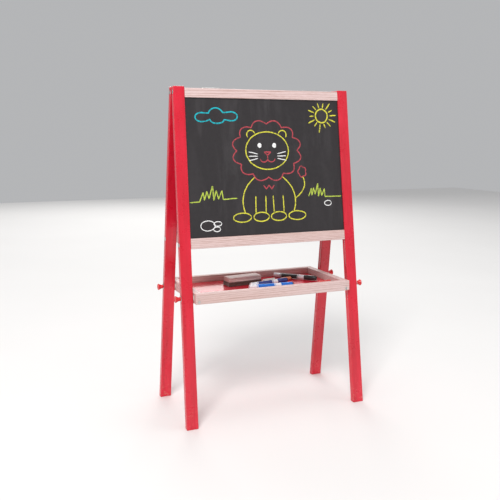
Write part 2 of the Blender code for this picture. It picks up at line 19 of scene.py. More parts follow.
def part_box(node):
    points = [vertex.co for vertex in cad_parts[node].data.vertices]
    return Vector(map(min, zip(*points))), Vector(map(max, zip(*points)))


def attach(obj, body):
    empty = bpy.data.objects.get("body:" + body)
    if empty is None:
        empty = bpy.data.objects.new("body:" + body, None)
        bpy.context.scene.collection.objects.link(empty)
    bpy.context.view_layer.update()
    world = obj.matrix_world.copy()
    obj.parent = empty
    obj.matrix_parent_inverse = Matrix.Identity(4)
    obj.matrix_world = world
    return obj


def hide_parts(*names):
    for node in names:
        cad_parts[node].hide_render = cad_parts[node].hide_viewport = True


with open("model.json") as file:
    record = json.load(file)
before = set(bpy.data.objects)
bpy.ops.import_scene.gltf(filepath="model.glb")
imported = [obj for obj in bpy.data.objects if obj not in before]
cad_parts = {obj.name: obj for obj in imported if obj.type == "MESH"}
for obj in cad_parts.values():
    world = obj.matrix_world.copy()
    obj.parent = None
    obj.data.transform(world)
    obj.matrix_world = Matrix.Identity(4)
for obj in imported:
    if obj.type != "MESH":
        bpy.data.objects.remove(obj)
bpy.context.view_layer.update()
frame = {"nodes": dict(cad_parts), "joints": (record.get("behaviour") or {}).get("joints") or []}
NODES = frame["nodes"]
TAU = 2 * math.pi

# ---- the frame's own geometry -------------------------------------------------------------------------
JOINTS = {joint["name"]: joint for joint in frame["joints"]}
AXIS_Z = JOINTS["frame_fold"]["pos_m"][2]
LEAN = math.radians(JOINTS["frame_fold"]["range_deg"][1]) / 2
UPRIGHT = Matrix.Translation((0, 0, AXIS_Z))
# each frame's own coordinates: x across, y through the wood (negative is outwards), z along the legs
PLACES = {
    "front": UPRIGHT @ Matrix.Rotation(-LEAN, 4, "X"),
    "rear": UPRIGHT @ Matrix.Rotation(math.pi, 4, "Z") @ Matrix.Rotation(-LEAN, 4, "X"),
    "tray": Matrix.Identity(4),
}


def points_of(node):
    return np.array([v.co for v in NODES[node].data.vertices], float)


def points_in(node, place):
    """A node's points in its frame's own coordinates."""
    inverse = np.array(place.inverted(), float)
    return points_of(node) @ inverse[:3, :3].T + inverse[:3, 3]


def local_box(node, place):
    """A node's lowest and highest corner in its frame's own coordinates."""
    points = points_in(node, place)
    return Vector(points.min(0)), Vector(points.max(0))


def axis_matrix(axis, at):
    """Turns +Z into the given axis, and moves the origin to at."""
    return Matrix.Translation(at) @ Vector((0, 0, 1)).rotation_difference(Vector(axis)).to_matrix().to_4x4()


def long_axis(node, towards=None):
    """Start, direction and length of a long turned node. It points towards +X, or to another node."""
    points = points_of(node)
    centre = (points.max(0) + points.min(0)) / 2
    spread = points - points.mean(0)
    direction = np.linalg.eigh(spread.T @ spread)[1][:, -1]
    aim = np.array([1.0, 0, 0]) if towards is None else points_of(towards).mean(0) - centre
    if direction @ aim < 0:
        direction = -direction
    along = (points - centre) @ direction
    across = (points - centre) - np.outer(along, direction)
    middle = centre + (across.max(0) + across.min(0)) / 2
    return Vector(middle + direction * along.min()), Vector(direction), float(along.max() - along.min())


def x_axis_place(node, side):
    """Place and length of a turned node whose axis is X. It starts at the inner end and points outwards."""
    low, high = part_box(node)
    centre = (low + high) / 2
    centre.x = low.x if side > 0 else high.x
    return axis_matrix((side, 0, 0), centre), high.x - low.x


# ---- materials ----------------------------------------------------------------------------------------
WAVE_RATE = 20           # a wave texture's radians in a metre, at a scale of 1


class Finish:
    """A procedural material, built node by node.

    Its textures lie in the object's coordinates, or in those of a place if one is given.
    """

    def __init__(self, name, place=None, **sockets):
        self.material = bpy.data.materials.new(name)
        self.material.use_nodes = True
        self.tree = self.material.node_tree
        self.shader = self.tree.nodes["Principled BSDF"]
        for socket, value in sockets.items():
            self.shader.inputs[socket.replace("_", " ")].default_value = value
        self.at = self.tree.nodes.new("ShaderNodeTexCoord").outputs["Object"]
        if place is not None:
            inverse = place.inverted()
            self.at = self.stretched(self.at, (1, 1, 1), inverse.to_translation(), inverse.to_euler("XYZ"))

    def put(self, socket, value):
        """Plug a node's output or a value into a socket."""
        if isinstance(value, bpy.types.NodeSocket):
            self.tree.links.new(value, socket)
        else:
            socket.default_value = value

    def new(self, kind, **inputs):
        """A shader node, with its named inputs plugged in."""
        node = self.tree.nodes.new("ShaderNode" + kind)
        for socket, value in inputs.items():
            self.put(node.inputs[socket.replace("_", " ")], value)
        return node

    def stretched(self, at, scale, shift=(0, 0, 0), turn=(0, 0, 0)):
        """Coordinates that are scaled, turned and then shifted."""
        return self.new("Mapping", Vector=at, Location=shift, Rotation=turn, Scale=scale).outputs["Vector"]

    def noise(self, scale, detail=4.0, roughness=0.55, distortion=0.0, at=None):
        return self.new("TexNoise", Vector=self.at if at is None else at, Scale=scale, Detail=detail,
                        Roughness=roughness, Distortion=distortion).outputs["Fac"]

    def rings(self, axis, spacing, wander, at):
        """Growth rings round an axis, a spacing apart: 0 in the early wood, 1 in the late wood."""
        node = self.new("TexWave", Vector=at, Scale=TAU / (WAVE_RATE * spacing), Distortion=wander,
                        Detail=2.0, Detail_Scale=0.05)
        node.wave_type = "RINGS"
        node.rings_direction = axis
        node.wave_profile = "SAW"
        return node.outputs["Fac"]

    def ramp(self, value, *stops):
        """Map a value through (position, grey) stops."""
        node = self.new("ValToRGB", Fac=value)
        elements = node.color_ramp.elements
        while len(elements) < len(stops):
            elements.new(1.0)
        for element, (position, grey) in zip(elements, stops):
            element.position = position
            element.color = (grey, grey, grey, 1)
        return node.outputs["Color"]

    def math(self, operation, a, b=0.0):
        node = self.new("Math")
        node.operation = operation
        self.put(node.inputs[0], a)
        self.put(node.inputs[1], b)
        return node.outputs["Value"]

    def times(self, a, b):
        return self.math("MULTIPLY", a, b)

    def capped_sum(self, a, b):
        """The sum of two values, kept between 0 and 1."""
        total = self.math("ADD", a, b)
        total.node.use_clamp = True
        return total

    def between(self, value, low, high):
        """Ease a value through two (value, result) pairs. It stays at their results outside them."""
        node = self.new("MapRange", Value=value, From_Min=low[0], To_Min=low[1], From_Max=high[0],
                        To_Max=high[1])
        node.interpolation_type = "SMOOTHSTEP"
        return node.outputs["Result"]

    def mix(self, factor, a, b):
        node = self.new("Mix")
        node.data_type = "RGBA"
        self.put(node.inputs["Factor"], factor)
        for socket, value in ((node.inputs[6], a), (node.inputs[7], b)):
            self.put(socket, (*value, 1) if isinstance(value, tuple) else value)
        return node.outputs[2]

    def height(self):
        """The coordinate along Z."""
        return self.new("SeparateXYZ", Vector=self.at).outputs["Z"]

    def edge_distance(self, low, high):
        """How far a point of a box's surface is from the nearest edge. The box has a twin across x = 0."""
        x, y, z = self.new("SeparateXYZ", Vector=self.at).outputs
        away = []
        for index, value in enumerate((self.math("ABSOLUTE", x), y, z)):
            to_low = self.math("ABSOLUTE", self.math("SUBTRACT", value, low[index]))
            to_high = self.math("ABSOLUTE", self.math("SUBTRACT", value, high[index]))
            away.append(self.math("MINIMUM", to_low, to_high))
        a, b, c = away
        # of the three distances from a face's planes, the middle one is the distance from an edge
        middle = self.math("MINIMUM", self.math("MAXIMUM", a, b), c)
        return self.math("MAXIMUM", self.math("MINIMUM", a, b), middle)

    def colour(self, value):
        self.put(self.shader.inputs["Base Color"], value)

    def roughness(self, value):
        self.put(self.shader.inputs["Roughness"], value)

    def bump(self, height, distance, strength=1.0, under=None):
        """Bump the surface, on top of another bump's normal if one is given."""
        node = self.new("Bump", Height=height, Distance=distance, Strength=strength)
        if under is not None:
            self.put(node.inputs["Normal"], under)
        self.put(self.shader.inputs["Normal"], node.outputs["Normal"])
        return node.outputs["Normal"]


GRAIN_STRETCH = 0.06     # how slowly wood changes along its grain, compared with across it
GRAIN_AXES = {"X": (GRAIN_STRETCH, 1, 1), "Y": (1, GRAIN_STRETCH, 1), "Z": (1, 1, GRAIN_STRETCH)}


def painted_wood(name, place, low, high):
    """Red gloss lacquer on pine: faint grain, painted highlight and wear along the edges, worn feet."""
    finish = Finish(name, place, Coat_Weight=0.35, Coat_Roughness=0.12, Specular_IOR_Level=0.45)
    grain_at = finish.stretched(finish.at, GRAIN_AXES["Z"])
    grain = finish.noise(420, 5, 0.65, at=grain_at)
    streaks = finish.noise(75, 4, 0.6, at=grain_at)
    clouds = finish.noise(9, 3, 0.5)
    red = finish.mix(finish.between(clouds, (0.35, 0), (0.65, 1)), (0.655, 0.008, 0.028),
                     (0.715, 0.012, 0.038))
    red = finish.mix(finish.between(streaks, (0.44, 0), (0.70, 0.55)), red, (0.47, 0.006, 0.020))
    red = finish.mix(finish.between(grain, (0.56, 0), (0.74, 0.50)), red, (0.40, 0.004, 0.016))
    # a paler, ragged band along every edge: a painted highlight on the bevels, and paint worn thin there
    edge = finish.edge_distance(low, high)
    ragged = finish.times(finish.noise(42, 6, 0.72), 0.0042)
    thin = finish.between(finish.math("SUBTRACT", edge, ragged), (-0.0019, 1.0), (-0.0013, 0.0))
    low_down = finish.between(finish.height(), (low.z + 0.004, 1.0), (low.z + 0.085, 0.0))
    scuffs = finish.between(finish.noise(120, 6, 0.75), (0.57, 0.0), (0.63, 1.0))
    edge_highlight_and_wear = finish.capped_sum(finish.times(thin, 0.45), finish.times(scuffs, low_down))
    # the paler red is the painted edge highlight, and also bare wood where the paint is worn
    red = finish.mix(finish.times(edge_highlight_and_wear, 0.8), red, (0.72, 0.17, 0.14))
    finish.colour(red)
    finish.roughness(finish.between(finish.noise(34, 5, 0.65), (0.3, 0.24), (0.75, 0.42)))
    normal = finish.bump(finish.noise(260, 2, 0.5), 0.00006, 0.3)
    finish.bump(grain, 0.00016, 0.7, under=normal)
    return finish.material


def pine(name, place, grain, heart, seed):
    """Clear pine. The rings lie round a heart at some distance from the board, given in its coordinates."""
    finish = Finish(name, place, Specular_IOR_Level=0.35)
    along = GRAIN_AXES[grain]
    wood_at = finish.stretched(finish.at, along, [-h * s for h, s in zip(heart, along)])
    shifted = finish.stretched(finish.at, [1.1 * s for s in along], (seed, 0, 0))
    warp = finish.new("TexNoise", Vector=shifted, Scale=16, Detail=2)
    warped = finish.new("VectorMath")
    warped.operation = "MULTIPLY_ADD"
    for socket, value in zip(warped.inputs, (warp.outputs["Color"], (0.016, 0.016, 0.016), wood_at)):
        finish.put(socket, value)
    rings = finish.rings(grain, 0.0036, 2.4, warped.outputs["Vector"])
    fibre_at = finish.stretched(finish.at, [0.5 * s if s < 1 else s for s in along], (0, seed, 0))
    fibres = finish.noise(1900, 3, 0.6, at=fibre_at)
    streaks = finish.noise(430, 4, 0.7, at=fibre_at)
    broad = finish.noise(20, 2, 0.5, at=shifted)
    late = (0.370, 0.180, 0.130)
    wood = finish.mix(finish.between(broad, (0.38, 0), (0.66, 0.75)), (0.760, 0.590, 0.575),
                      (0.700, 0.510, 0.475))
    ring_line = finish.ramp(rings, (0.0, 0.0), (0.68, 0.03), (0.88, 0.66), (0.97, 0.74), (1.0, 0.0))
    ring_line = finish.times(ring_line, finish.between(streaks, (0.35, 0.35), (0.65, 1.25)))
    wood = finish.mix(ring_line, wood, late)
    wood = finish.mix(finish.between(streaks, (0.50, 0), (0.74, 0.26)), wood, late)
    wood = finish.mix(finish.between(fibres, (0.36, 0.30), (0.56, 0.0)), wood, late)
    ducts = finish.noise(620, 1, 0.5, at=finish.stretched(fibre_at, (1, 1, 1), (0, 0, seed)))
    wood = finish.mix(finish.between(ducts, (0.72, 0), (0.78, 0.55)), wood, (0.36, 0.17, 0.11))
    knot_at = finish.stretched(finish.at, [0.45 if s < 1 else 1.0 for s in along], (seed * 0.37, 0, 0))
    from_knot = finish.new("TexVoronoi", Vector=knot_at, Scale=7.0).outputs["Distance"]
    wood = finish.mix(finish.between(from_knot, (0.018, 0.85), (0.040, 0.0)), wood, (0.235, 0.095, 0.052))
    finish.colour(wood)
    finish.roughness(finish.between(streaks, (0.3, 0.42), (0.75, 0.62)))
    normal = finish.bump(fibres, 0.00010, 0.6)
    finish.bump(ring_line, 0.00004, 0.3, under=normal)
    return finish.material


def chalkboard_finish(place):
    """Matt slate paint, wiped many times: faint clouds of chalk in sweeping strokes."""
    finish = Finish("chalkboard_slate", place, Specular_IOR_Level=0.30)
    sweep = finish.stretched(finish.at, (1.0, 1.0, 0.22), turn=(0, math.radians(28), 0))
    strokes = finish.noise(24, 5, 0.62, 0.6, at=sweep)
    clouds = finish.noise(5.5, 4, 0.55, 0.3)
    dust = finish.times(finish.between(strokes, (0.42, 0), (0.80, 1)),
                        finish.between(clouds, (0.34, 0.15), (0.72, 1)))
    slate = finish.mix(finish.noise(90, 3, 0.5), (0.025, 0.022, 0.024), (0.034, 0.030, 0.032))
    slate = finish.mix(finish.times(dust, 0.26), slate, (0.18, 0.17, 0.18))
    finish.colour(slate)
    finish.roughness(finish.between(dust, (0.0, 0.62), (1.0, 0.92)))
    finish.bump(finish.noise(1300, 3, 0.6), 0.00008, 0.6)
    return finish.material


def whiteboard_finish(place):
    """Glossy melamine with the ghosts of wiped-off ink."""
    finish = Finish("whiteboard_melamine", place, Coat_Weight=0.5, Coat_Roughness=0.06)
    sweep = finish.stretched(finish.at, (0.35, 1.0, 1.0), turn=(0, math.radians(-20), 0))
    ghost = finish.between(finish.noise(13, 5, 0.6, 0.8, at=sweep), (0.52, 0), (0.80, 1))
    white = finish.mix(finish.noise(4, 2), (0.815, 0.800, 0.900), (0.850, 0.840, 0.925))
    white = finish.mix(finish.times(ghost, 0.22), white, (0.62, 0.60, 0.74))
    finish.colour(white)
    finish.roughness(finish.between(finish.noise(30, 4, 0.6, at=sweep), (0.3, 0.13), (0.8, 0.30)))
    finish.bump(finish.noise(500, 2), 0.00003, 0.3)
    return finish.material


def tray_floor_finish():
    """The tray's floor: the same red lacquer on thin board, dusted with chalk on top."""
    finish = Finish("tray_floor_lacquer", Coat_Weight=0.5, Coat_Roughness=0.22)
    clouds = finish.noise(11, 3)
    red = finish.mix(clouds, (0.60, 0.010, 0.028), (0.70, 0.016, 0.040))
    specks = finish.between(finish.noise(700, 3, 0.7), (0.62, 0), (0.74, 1))
    drift = finish.between(finish.noise(13, 4, 0.6, 0.5), (0.44, 0), (0.74, 1))
    film = finish.between(finish.noise(28, 5, 0.65, 1.2), (0.46, 0), (0.82, 1))
    dust = finish.capped_sum(finish.times(film, 0.20), finish.times(specks, drift))
    floor_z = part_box("tray_floor_panel")[1].z
    on_top = finish.between(finish.height(), (floor_z - 0.0008, 0), (floor_z - 0.0003, 1))
    dust = finish.times(dust, on_top)
    red = finish.mix(finish.times(dust, 0.62), red, (0.86, 0.52, 0.58))
    finish.colour(red)
    finish.roughness(finish.between(dust, (0.0, 0.20), (0.6, 0.65)))
    finish.bump(finish.noise(240, 3), 0.00005, 0.35)
    return finish.material


def metal(name, colour):
    """Plated steel or brass, with fine lines along its Z axis."""
    finish = Finish(name, Metallic=1.0)
    lines = finish.noise(520, 4, 0.65, at=finish.stretched(finish.at, (1, 1, 0.15)))
    patches = finish.noise(160, 3, 0.6)
    dark = tuple(0.72 * c for c in colour)
    finish.colour(finish.mix(finish.between(patches, (0.42, 0), (0.72, 0.7)), colour, dark))
    finish.roughness(finish.between(lines, (0.3, 0.28), (0.7, 0.50)))
    finish.bump(lines, 0.00003, 0.5)
    return finish.material


def plastic(name, colour, roughness, **sockets):
    """Injection-moulded plastic: a fine even texture, with a few rubbed patches."""
    finish = Finish(name, **sockets)
    rubbed = finish.between(finish.noise(210, 5, 0.7), (0.52, 0), (0.78, 1))
    lighter = tuple(min(1.0, c * 1.12 + 0.02) for c in colour)
    finish.colour(finish.mix(finish.times(rubbed, 0.6), colour, lighter))
    finish.roughness(finish.between(rubbed, (0.0, roughness), (1.0, roughness + 0.12)))
    finish.bump(finish.noise(1600, 2), 0.00002, 0.5)
    return finish.material


def felt_finish():
    """Dark pressed wool, paler where chalk has caught in it."""
    finish = Finish("felt_wool", Sheen_Weight=0.6, Sheen_Roughness=0.5, Specular_IOR_Level=0.1,
                    Roughness=0.95)
    layers = finish.noise(300, 4, 0.7, at=finish.stretched(finish.at, (0.25, 0.25, 2.2)))
    fuzz = finish.noise(1500, 4, 0.75)
    wool = finish.mix(finish.between(layers, (0.35, 0), (0.68, 1)), (0.060, 0.026, 0.020),
                      (0.125, 0.062, 0.050))
    chalky = finish.times(finish.between(fuzz, (0.50, 0), (0.70, 1)),
                          finish.between(finish.height(), (0.0, 0.85), (0.005, 0.10)))
    finish.colour(finish.mix(finish.times(chalky, 0.55), wool, (0.62, 0.52, 0.50)))
    normal = finish.bump(layers, 0.0005, 0.6)
    finish.bump(fuzz, 0.00035, 0.9, under=normal)
    return finish.material


def powdery(name, colour):
    """Dry, pitted and partly covered with a paler powder: a stick of chalk, or a marker's used wiper."""
    finish = Finish(name, Specular_IOR_Level=0.12, Roughness=0.95)
    powder = finish.noise(420, 5, 0.75)
    pale = tuple(0.55 * c + 0.42 for c in colour)
    finish.colour(finish.mix(finish.between(powder, (0.46, 0), (0.72, 0.7)), colour, pale))
    normal = finish.bump(powder, 0.0003, 0.7)
    finish.bump(finish.noise(2200, 3, 0.7), 0.00010, 0.8, under=normal)
    return finish.material


def chalk_line(name, colour, cover):
    """A chalk stroke, darker where the board's texture took less chalk. Cover is for a harder stroke."""
    finish = Finish(name, Specular_IOR_Level=0.10, Roughness=0.97)
    tooth = finish.noise(1300, 4, 0.75)
    drag = finish.noise(170, 4, 0.6)
    pressed = finish.math("ADD", tooth, finish.times(drag, 0.9))
    taken = finish.between(pressed, (0.78 - cover, 0.0), (0.96 - cover, 1.0))
    finish.colour(finish.mix(taken, tuple(0.30 * c + 0.03 for c in colour), colour))
    finish.bump(tooth, 0.00015, 0.8)
    return finish.material


def ink(name, colour):
    """Dry-wipe ink: glossy, with the streaks of the nib."""
    finish = Finish(name, Coat_Weight=0.3, Coat_Roughness=0.15)
    streaks = finish.noise(150, 3, 0.6, at=finish.stretched(finish.at, (0.2, 1, 1), turn=(0, 0.5, 0)))
    thin = tuple(min(1.0, c * 1.15 + 0.06) for c in colour)
    finish.colour(finish.mix(finish.between(streaks, (0.45, 0), (0.7, 1)), colour, thin))
    finish.roughness(finish.between(streaks, (0.3, 0.25), (0.7, 0.45)))
    return finish.material


# ---- shapes -------------------------------------------------------------------------------------------
def add_piece(name, bm, material, place, body, replaces=(), smooth_angle=35):
    """Turn a bmesh into a piece that rides a body, and that may replace CAD nodes."""
    bmesh.ops.recalc_face_normals(bm, faces=bm.faces)
    mesh = bpy.data.meshes.new(name)
    bm.to_mesh(mesh)
    bm.free()
    mesh.shade_smooth()
    mesh.set_sharp_from_angle(angle=math.radians(smooth_angle))
    mesh.materials.append(material)
    piece = bpy.data.objects.new(name, mesh)
    bpy.context.scene.collection.objects.link(piece)
    piece.matrix_world = place
    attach(piece, body)
    if replaces:
        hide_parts(*replaces)


def stack(rings, sides=32, closed=False):
    """A skin over a stack of rings of (radius, z), where a radius may be a function of the angle.

    The two ends are capped, or joined to each other where the section is a closed loop.
    """
    bm = bmesh.new()
    skins = []
    for radius, z in rings:
        ring = []
        for k in range(sides):
            angle = TAU * k / sides
            r = radius(angle) if callable(radius) else radius
            ring.append(bm.verts.new((r * math.cos(angle), r * math.sin(angle), z)))
        skins.append(ring)
    for a, b in list(zip(skins, skins[1:])) + ([(skins[-1], skins[0])] if closed else []):
        bridge(bm, a, b)
    if not closed:
        bm.faces.new(skins[0])
        bm.faces.new(reversed(skins[-1]))
    return bm


def bridge(bm, a, b):
    """Quads between two closed rings of points."""
    for k in range(len(a)):
        n = (k + 1) % len(a)
        bm.faces.new((a[k], a[n], b[n], b[k]))


def turned(name, rings, material, place, body, replaces=(), sides=32, closed=False):
    """A turned piece, from its rings."""
    add_piece(name, stack(rings, sides, closed), material, place, body, replaces)


def tube(outer, inner_r):
    """Rings of a tube: its outline on the outside, closed by its bore."""
    return [(inner_r, outer[0][1])] + outer + [(inner_r, outer[-1][1])]


def round_over(radius, z, size, steps):
    """Points of a rounded outer corner, from the side of a turned piece to its end."""
    points = []
    for i in range(steps + 1):
        a = math.pi / 2 * i / steps
        points.append((radius - size + size * math.cos(a), z - size + size * math.sin(a)))
    return points


def hexagon(across_flats):
    """Radius of a hexagon at an angle."""
    def radius(angle):
        nearest = (angle % (TAU / 6)) - TAU / 12
        return across_flats / 2 / math.cos(nearest)
    return radius


def bar(half_length, half_width, turn=0.0):
    """Radius of a rectangle at an angle, for a slot or an arm of a cross."""
    def radius(angle):
        c, s = abs(math.cos(angle - turn)), abs(math.sin(angle - turn))
        return min(half_length / max(c, 1e-6), half_width / max(s, 1e-6))
    return radius


def cross(half_length, half_width):
    """Radius of a Phillips recess at an angle."""
    one, other = bar(half_length, half_width), bar(half_length, half_width, math.pi / 2)
    return lambda angle: max(one(angle), other(angle))


def thread(core_r, crest_r, low, high, pitch):
    """Rings of a helical thread between two heights, four to a turn."""
    def radius_at(z):
        def radius(angle):
            phase = (z / pitch + angle / TAU) % 1.0
            return core_r + (crest_r - core_r) * (1 - abs(2 * phase - 1))
        return radius
    count = max(2, round((high - low) / pitch * 4))
    heights = [low + (high - low) * i / count for i in range(count + 1)]
    return [(radius_at(z), z) for z in heights]


# ---- finishes of the CAD nodes that stay --------------------------------------------------------------
def dress(node, material):
    """Give a CAD node its finish. Its mesh stays; a weighted-normal modifier only evens its shading."""
    obj = NODES[node]
    obj.data.materials.clear()
    obj.data.materials.append(material)
    weld = obj.modifiers.new("Join split corners", "WELD")
    weld.merge_threshold = 0.000002
    shading = obj.modifiers.new("Even shading", "WEIGHTED_NORMAL")
    shading.mode = "FACE_AREA"
    shading.weight = 90
    shading.keep_sharp = False


PINE_HEARTS = {          # where each board's heart lies, in its own frame's coordinates, and a seed
    "front_top_rail": ((0, 0.034, 0.018), 3.1),
    "front_bottom_rail": ((0, 0.030, -0.455), 7.7),
    "rear_top_rail": ((0, 0.040, -0.060), 12.3),
    "rear_bottom_rail": ((0, 0.022, -0.372), 17.9),
    "tray_front_rail": ((0, -0.050, 0.290), 23.5),
    "tray_back_rail": ((0, 0.160, 0.355), 29.2),
    "tray_left_rail": ((-0.250, 0, 0.290), 34.6),
    "tray_right_rail": ((0.185, 0, 0.368), 41.0),
}


def finish_wood_and_boards():
    """Paint on the legs, pine on the rails, slate and melamine on the boards, lacquer on the floor."""
    for side in ("front", "rear"):
        place = PLACES[side]
        low, high = local_box(f"{side}_right_leg", place)
        if high.x < 0:
            low, high = local_box(f"{side}_left_leg", place)
        paint = painted_wood(f"{side}_leg_paint", place, low, high)
        for hand in ("left", "right"):
            dress(f"{side}_{hand}_leg", paint)
    for node, (heart, seed) in PINE_HEARTS.items():
        place = PLACES[node.split("_")[0]]
        grain = "Y" if node in ("tray_left_rail", "tray_right_rail") else "X"
        dress(node, pine(f"{node}_pine", place, grain, heart, seed))
    dress("front_chalkboard", chalkboard_finish(PLACES["front"]))
    dress("rear_whiteboard", whiteboard_finish(PLACES["rear"]))
    dress("tray_floor_panel", tray_floor_finish())


# ---- metal parts --------------------------------------------------------------------------------------
HANDS = (("left", -1), ("right", 1))
HINGE_SCREW_STEP = 0.017         # between a leaf's screws
HINGE_SCREW_DROP = 0.0140        # below the hinge axis
NUT_INSET = 0.014                # from a rail's end
RECESS = 0.0011                  # how deep a Phillips recess is


def countersunk_head(radius, shank_r, depth):
    """Rings of a countersunk Phillips screw, from its recess outwards and down. Its head is at z = 0."""
    arm, width = radius * 0.52, radius * 0.15
    return [(cross(arm * 0.55, width * 0.8), -RECESS), (cross(arm, width), -0.00005),
            (cross(arm * 1.04, width * 1.15), 0), (radius * 0.80, 0.00008), (radius * 0.96, 0),
            (radius, -0.00018), (shank_r, -(radius - shank_r) - 0.0002), (shank_r, -depth)]


def leaf_face_y():
    """y of the leaves' outer face, which their screws' heads are flush with, in the frame's coordinates."""
    points = points_in("front_left_hinge_leaf", PLACES["front"])
    return float(points[points[:, 2] < -0.02, 1].max())


def make_hinge_parts(zinc):
    """Leaves and pins keep their CAD shape. Each leaf is held by three small countersunk screws."""
    face_y = leaf_face_y()
    for side in ("front", "rear"):
        for hand, _ in HANDS:
            node = f"{side}_{hand}_hinge_leaf"
            dress(node, zinc)
            low, high = local_box(node, PLACES[side])
            for index, step in enumerate((-1, 0, 1)):
                at = ((low.x + high.x) / 2 + step * HINGE_SCREW_STEP, face_y, -HINGE_SCREW_DROP)
                turn = Matrix.Rotation(0.5 + 1.3 * index + low.x * 40, 4, "Z")
                place = PLACES[side] @ axis_matrix((0, 1, 0), at) @ turn
                turned(f"{node}_screw_{index + 1}", countersunk_head(0.0032, 0.0013, 0.011), zinc, place,
                       f"{side}_frame", sides=40)
    for hand, _ in HANDS:
        dress(f"{hand}_hinge_pin", zinc)


def rail_bolt_rings(length):
    """A socket-head bolt: a thread, a plain shank, and a head with a hexagonal socket."""
    shank_r, head_r, seat = 0.0029, 0.0060, length - 0.0034
    rings = [(0.0022, 0)] + thread(0.0024, shank_r, 0.0008, 0.020, 0.001)
    rings += [(shank_r, 0.0204), (shank_r, seat), (head_r - 0.0004, seat), (head_r, seat + 0.0004)]
    rings += round_over(head_r, length, 0.0007, 3)
    socket = hexagon(0.0040)
    return rings + [(hexagon(0.0042), length), (socket, length - 0.0003), (socket, length - 0.0020)]


def barrel_nut_rings():
    """A barrel nut from its inner end to its slotted one, which is at z = 0."""
    radius, slot = 0.0050, bar(0.0045, 0.0006)
    rings = [(radius - 0.0002, -0.0116), (radius, -0.0113)] + round_over(radius, 0, 0.0004, 3)
    return rings + [(bar(0.0046, 0.0007), 0), (slot, -0.0001), (slot, -0.0012)]


def make_rail_fasteners(zinc):
    """Socket-head bolts in the legs' sides, and the slotted barrel nuts that they pull on in the rails."""
    for side in ("front", "rear"):
        inner_y = local_box(f"{side}_top_rail", PLACES[side])[1].y
        for hand, sign in HANDS:
            for rail in ("top", "bottom"):
                node = f"{side}_{hand}_{rail}_bolt"
                place, length = x_axis_place(node, sign)
                turned(node + "_fine", rail_bolt_rings(length), zinc, place, f"{side}_frame",
                       (node,), sides=36)
                centre = PLACES[side].inverted() @ place.translation
                rail_end = local_box(f"{side}_{rail}_rail", PLACES[side])[1].x
                at = (math.copysign(rail_end - NUT_INSET, centre.x), inner_y - 0.0004, centre.z)
                nut_place = PLACES[side] @ axis_matrix((0, 1, 0), at)
                turned(f"{side}_{hand}_{rail}_barrel_nut", barrel_nut_rings(), zinc, nut_place,
                       f"{side}_frame", sides=44)


def knob_rings(length):
    """A thumb knob: a bore for its bolt, a collar, a flare with two grip rings, and a dished end."""
    bore, neck, rim = 0.0032, 0.0050, 0.0085
    flare_start, flare_end, steps = 0.0022, length - 0.0026, 16
    rings = [(bore, 0.0090), (bore, 0.0), (neck + 0.0003, 0.0), (neck + 0.0006, 0.0003),
             (neck + 0.0006, 0.0012), (neck, 0.0018)]
    for i in range(steps + 1):
        t = i / steps
        groove = 0.00022 if i in (12, 14) else 0.0
        rings.append((neck + (rim - neck) * t ** 1.9 - groove, flare_start + (flare_end - flare_start) * t))
    rings += [(rim, flare_end + 0.0004)] + round_over(rim, length, 0.0011, 5)
    return rings + [(rim * 0.80, length - 0.0001), (rim * 0.68, length - 0.0006),
                    (rim * 0.40, length - 0.0011), (0.0014, length - 0.0012), (0.0013, length - 0.0009),
                    (0.0009, length - 0.0008)]


def make_knobs(red, zinc):
    """Flared thumb knobs on threaded bolts, over washers."""
    washer_r, washer_bore = 0.0075, 0.0035
    for side in ("front", "rear"):
        for hand, sign in HANDS:
            body = f"{side}_{hand}_knob"
            bolt, washer = body + "_bolt", body + "_washer"
            place, length = x_axis_place(body, sign)
            turned(body + "_fine", knob_rings(length), red, place, body, (body,), sides=48)

            place, length = x_axis_place(bolt, sign)
            rings = [(0.0019, 0), (0.0023, 0.0005)]
            rings += thread(0.0025, 0.00295, 0.0005, length - 0.0002, 0.001)
            turned(bolt + "_fine", rings, zinc, place, body, (bolt,), sides=24)

            place, thick = x_axis_place(washer, sign)
            outer = [(washer_r - 0.0003, thick), (washer_r, thick - 0.0002), (washer_r, 0.0002),
                     (washer_r - 0.0002, 0.0)]
            # the rear washers slide with their bolts, so they are bodies of their own
            turned(washer + "_fine", tube(outer, washer_bore), zinc, place,
                   "front_frame" if side == "front" else washer, (washer,), sides=40, closed=True)


def make_tray_hardware(zinc, brass, nylon):
    """Phillips screws in the tray's front and back, nylon spacers at its ends, brass inserts behind them."""
    spacer_r, insert_r, insert_length = 0.0080, 0.0046, 0.0110
    for end, out in (("front", -1), ("back", 1)):
        for hand, sign in HANDS:
            node = f"tray_{end}_{hand}_screw"
            low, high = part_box(node)
            at = (low + high) / 2
            at.y = low.y if out < 0 else high.y
            place = axis_matrix((0, out, 0), at) @ Matrix.Rotation(0.4 + at.x * 9 + at.y * 31, 4, "Z")
            rings = countersunk_head(0.0036, 0.0014, 0.006)
            rings += thread(0.0011, 0.0016, -0.0062, -0.026, -0.0011) + [(0.0002, -0.0298)]
            turned(node + "_fine", rings, zinc, place, "tray", (node,), sides=40)

            node = f"tray_{end}_{hand}_spacer"
            place, length = x_axis_place(node, sign)
            outer = [(spacer_r - 0.0004, length), (spacer_r, length - 0.0003), (spacer_r, 0.0003),
                     (spacer_r - 0.0004, 0.0)]
            turned(node + "_fine", tube(outer, 0.0034), nylon, place, "tray", (node,), sides=40,
                   closed=True)

            place = axis_matrix((sign, 0, 0), place.translation - Vector((sign * 0.0006, 0, 0)))
            outer = [(insert_r - 0.0002, 0), (insert_r, -0.0004), (insert_r, -insert_length)]
            turned(f"tray_{end}_{hand}_insert", tube(outer, 0.0031), brass, place, "tray", sides=32,
                   closed=True)


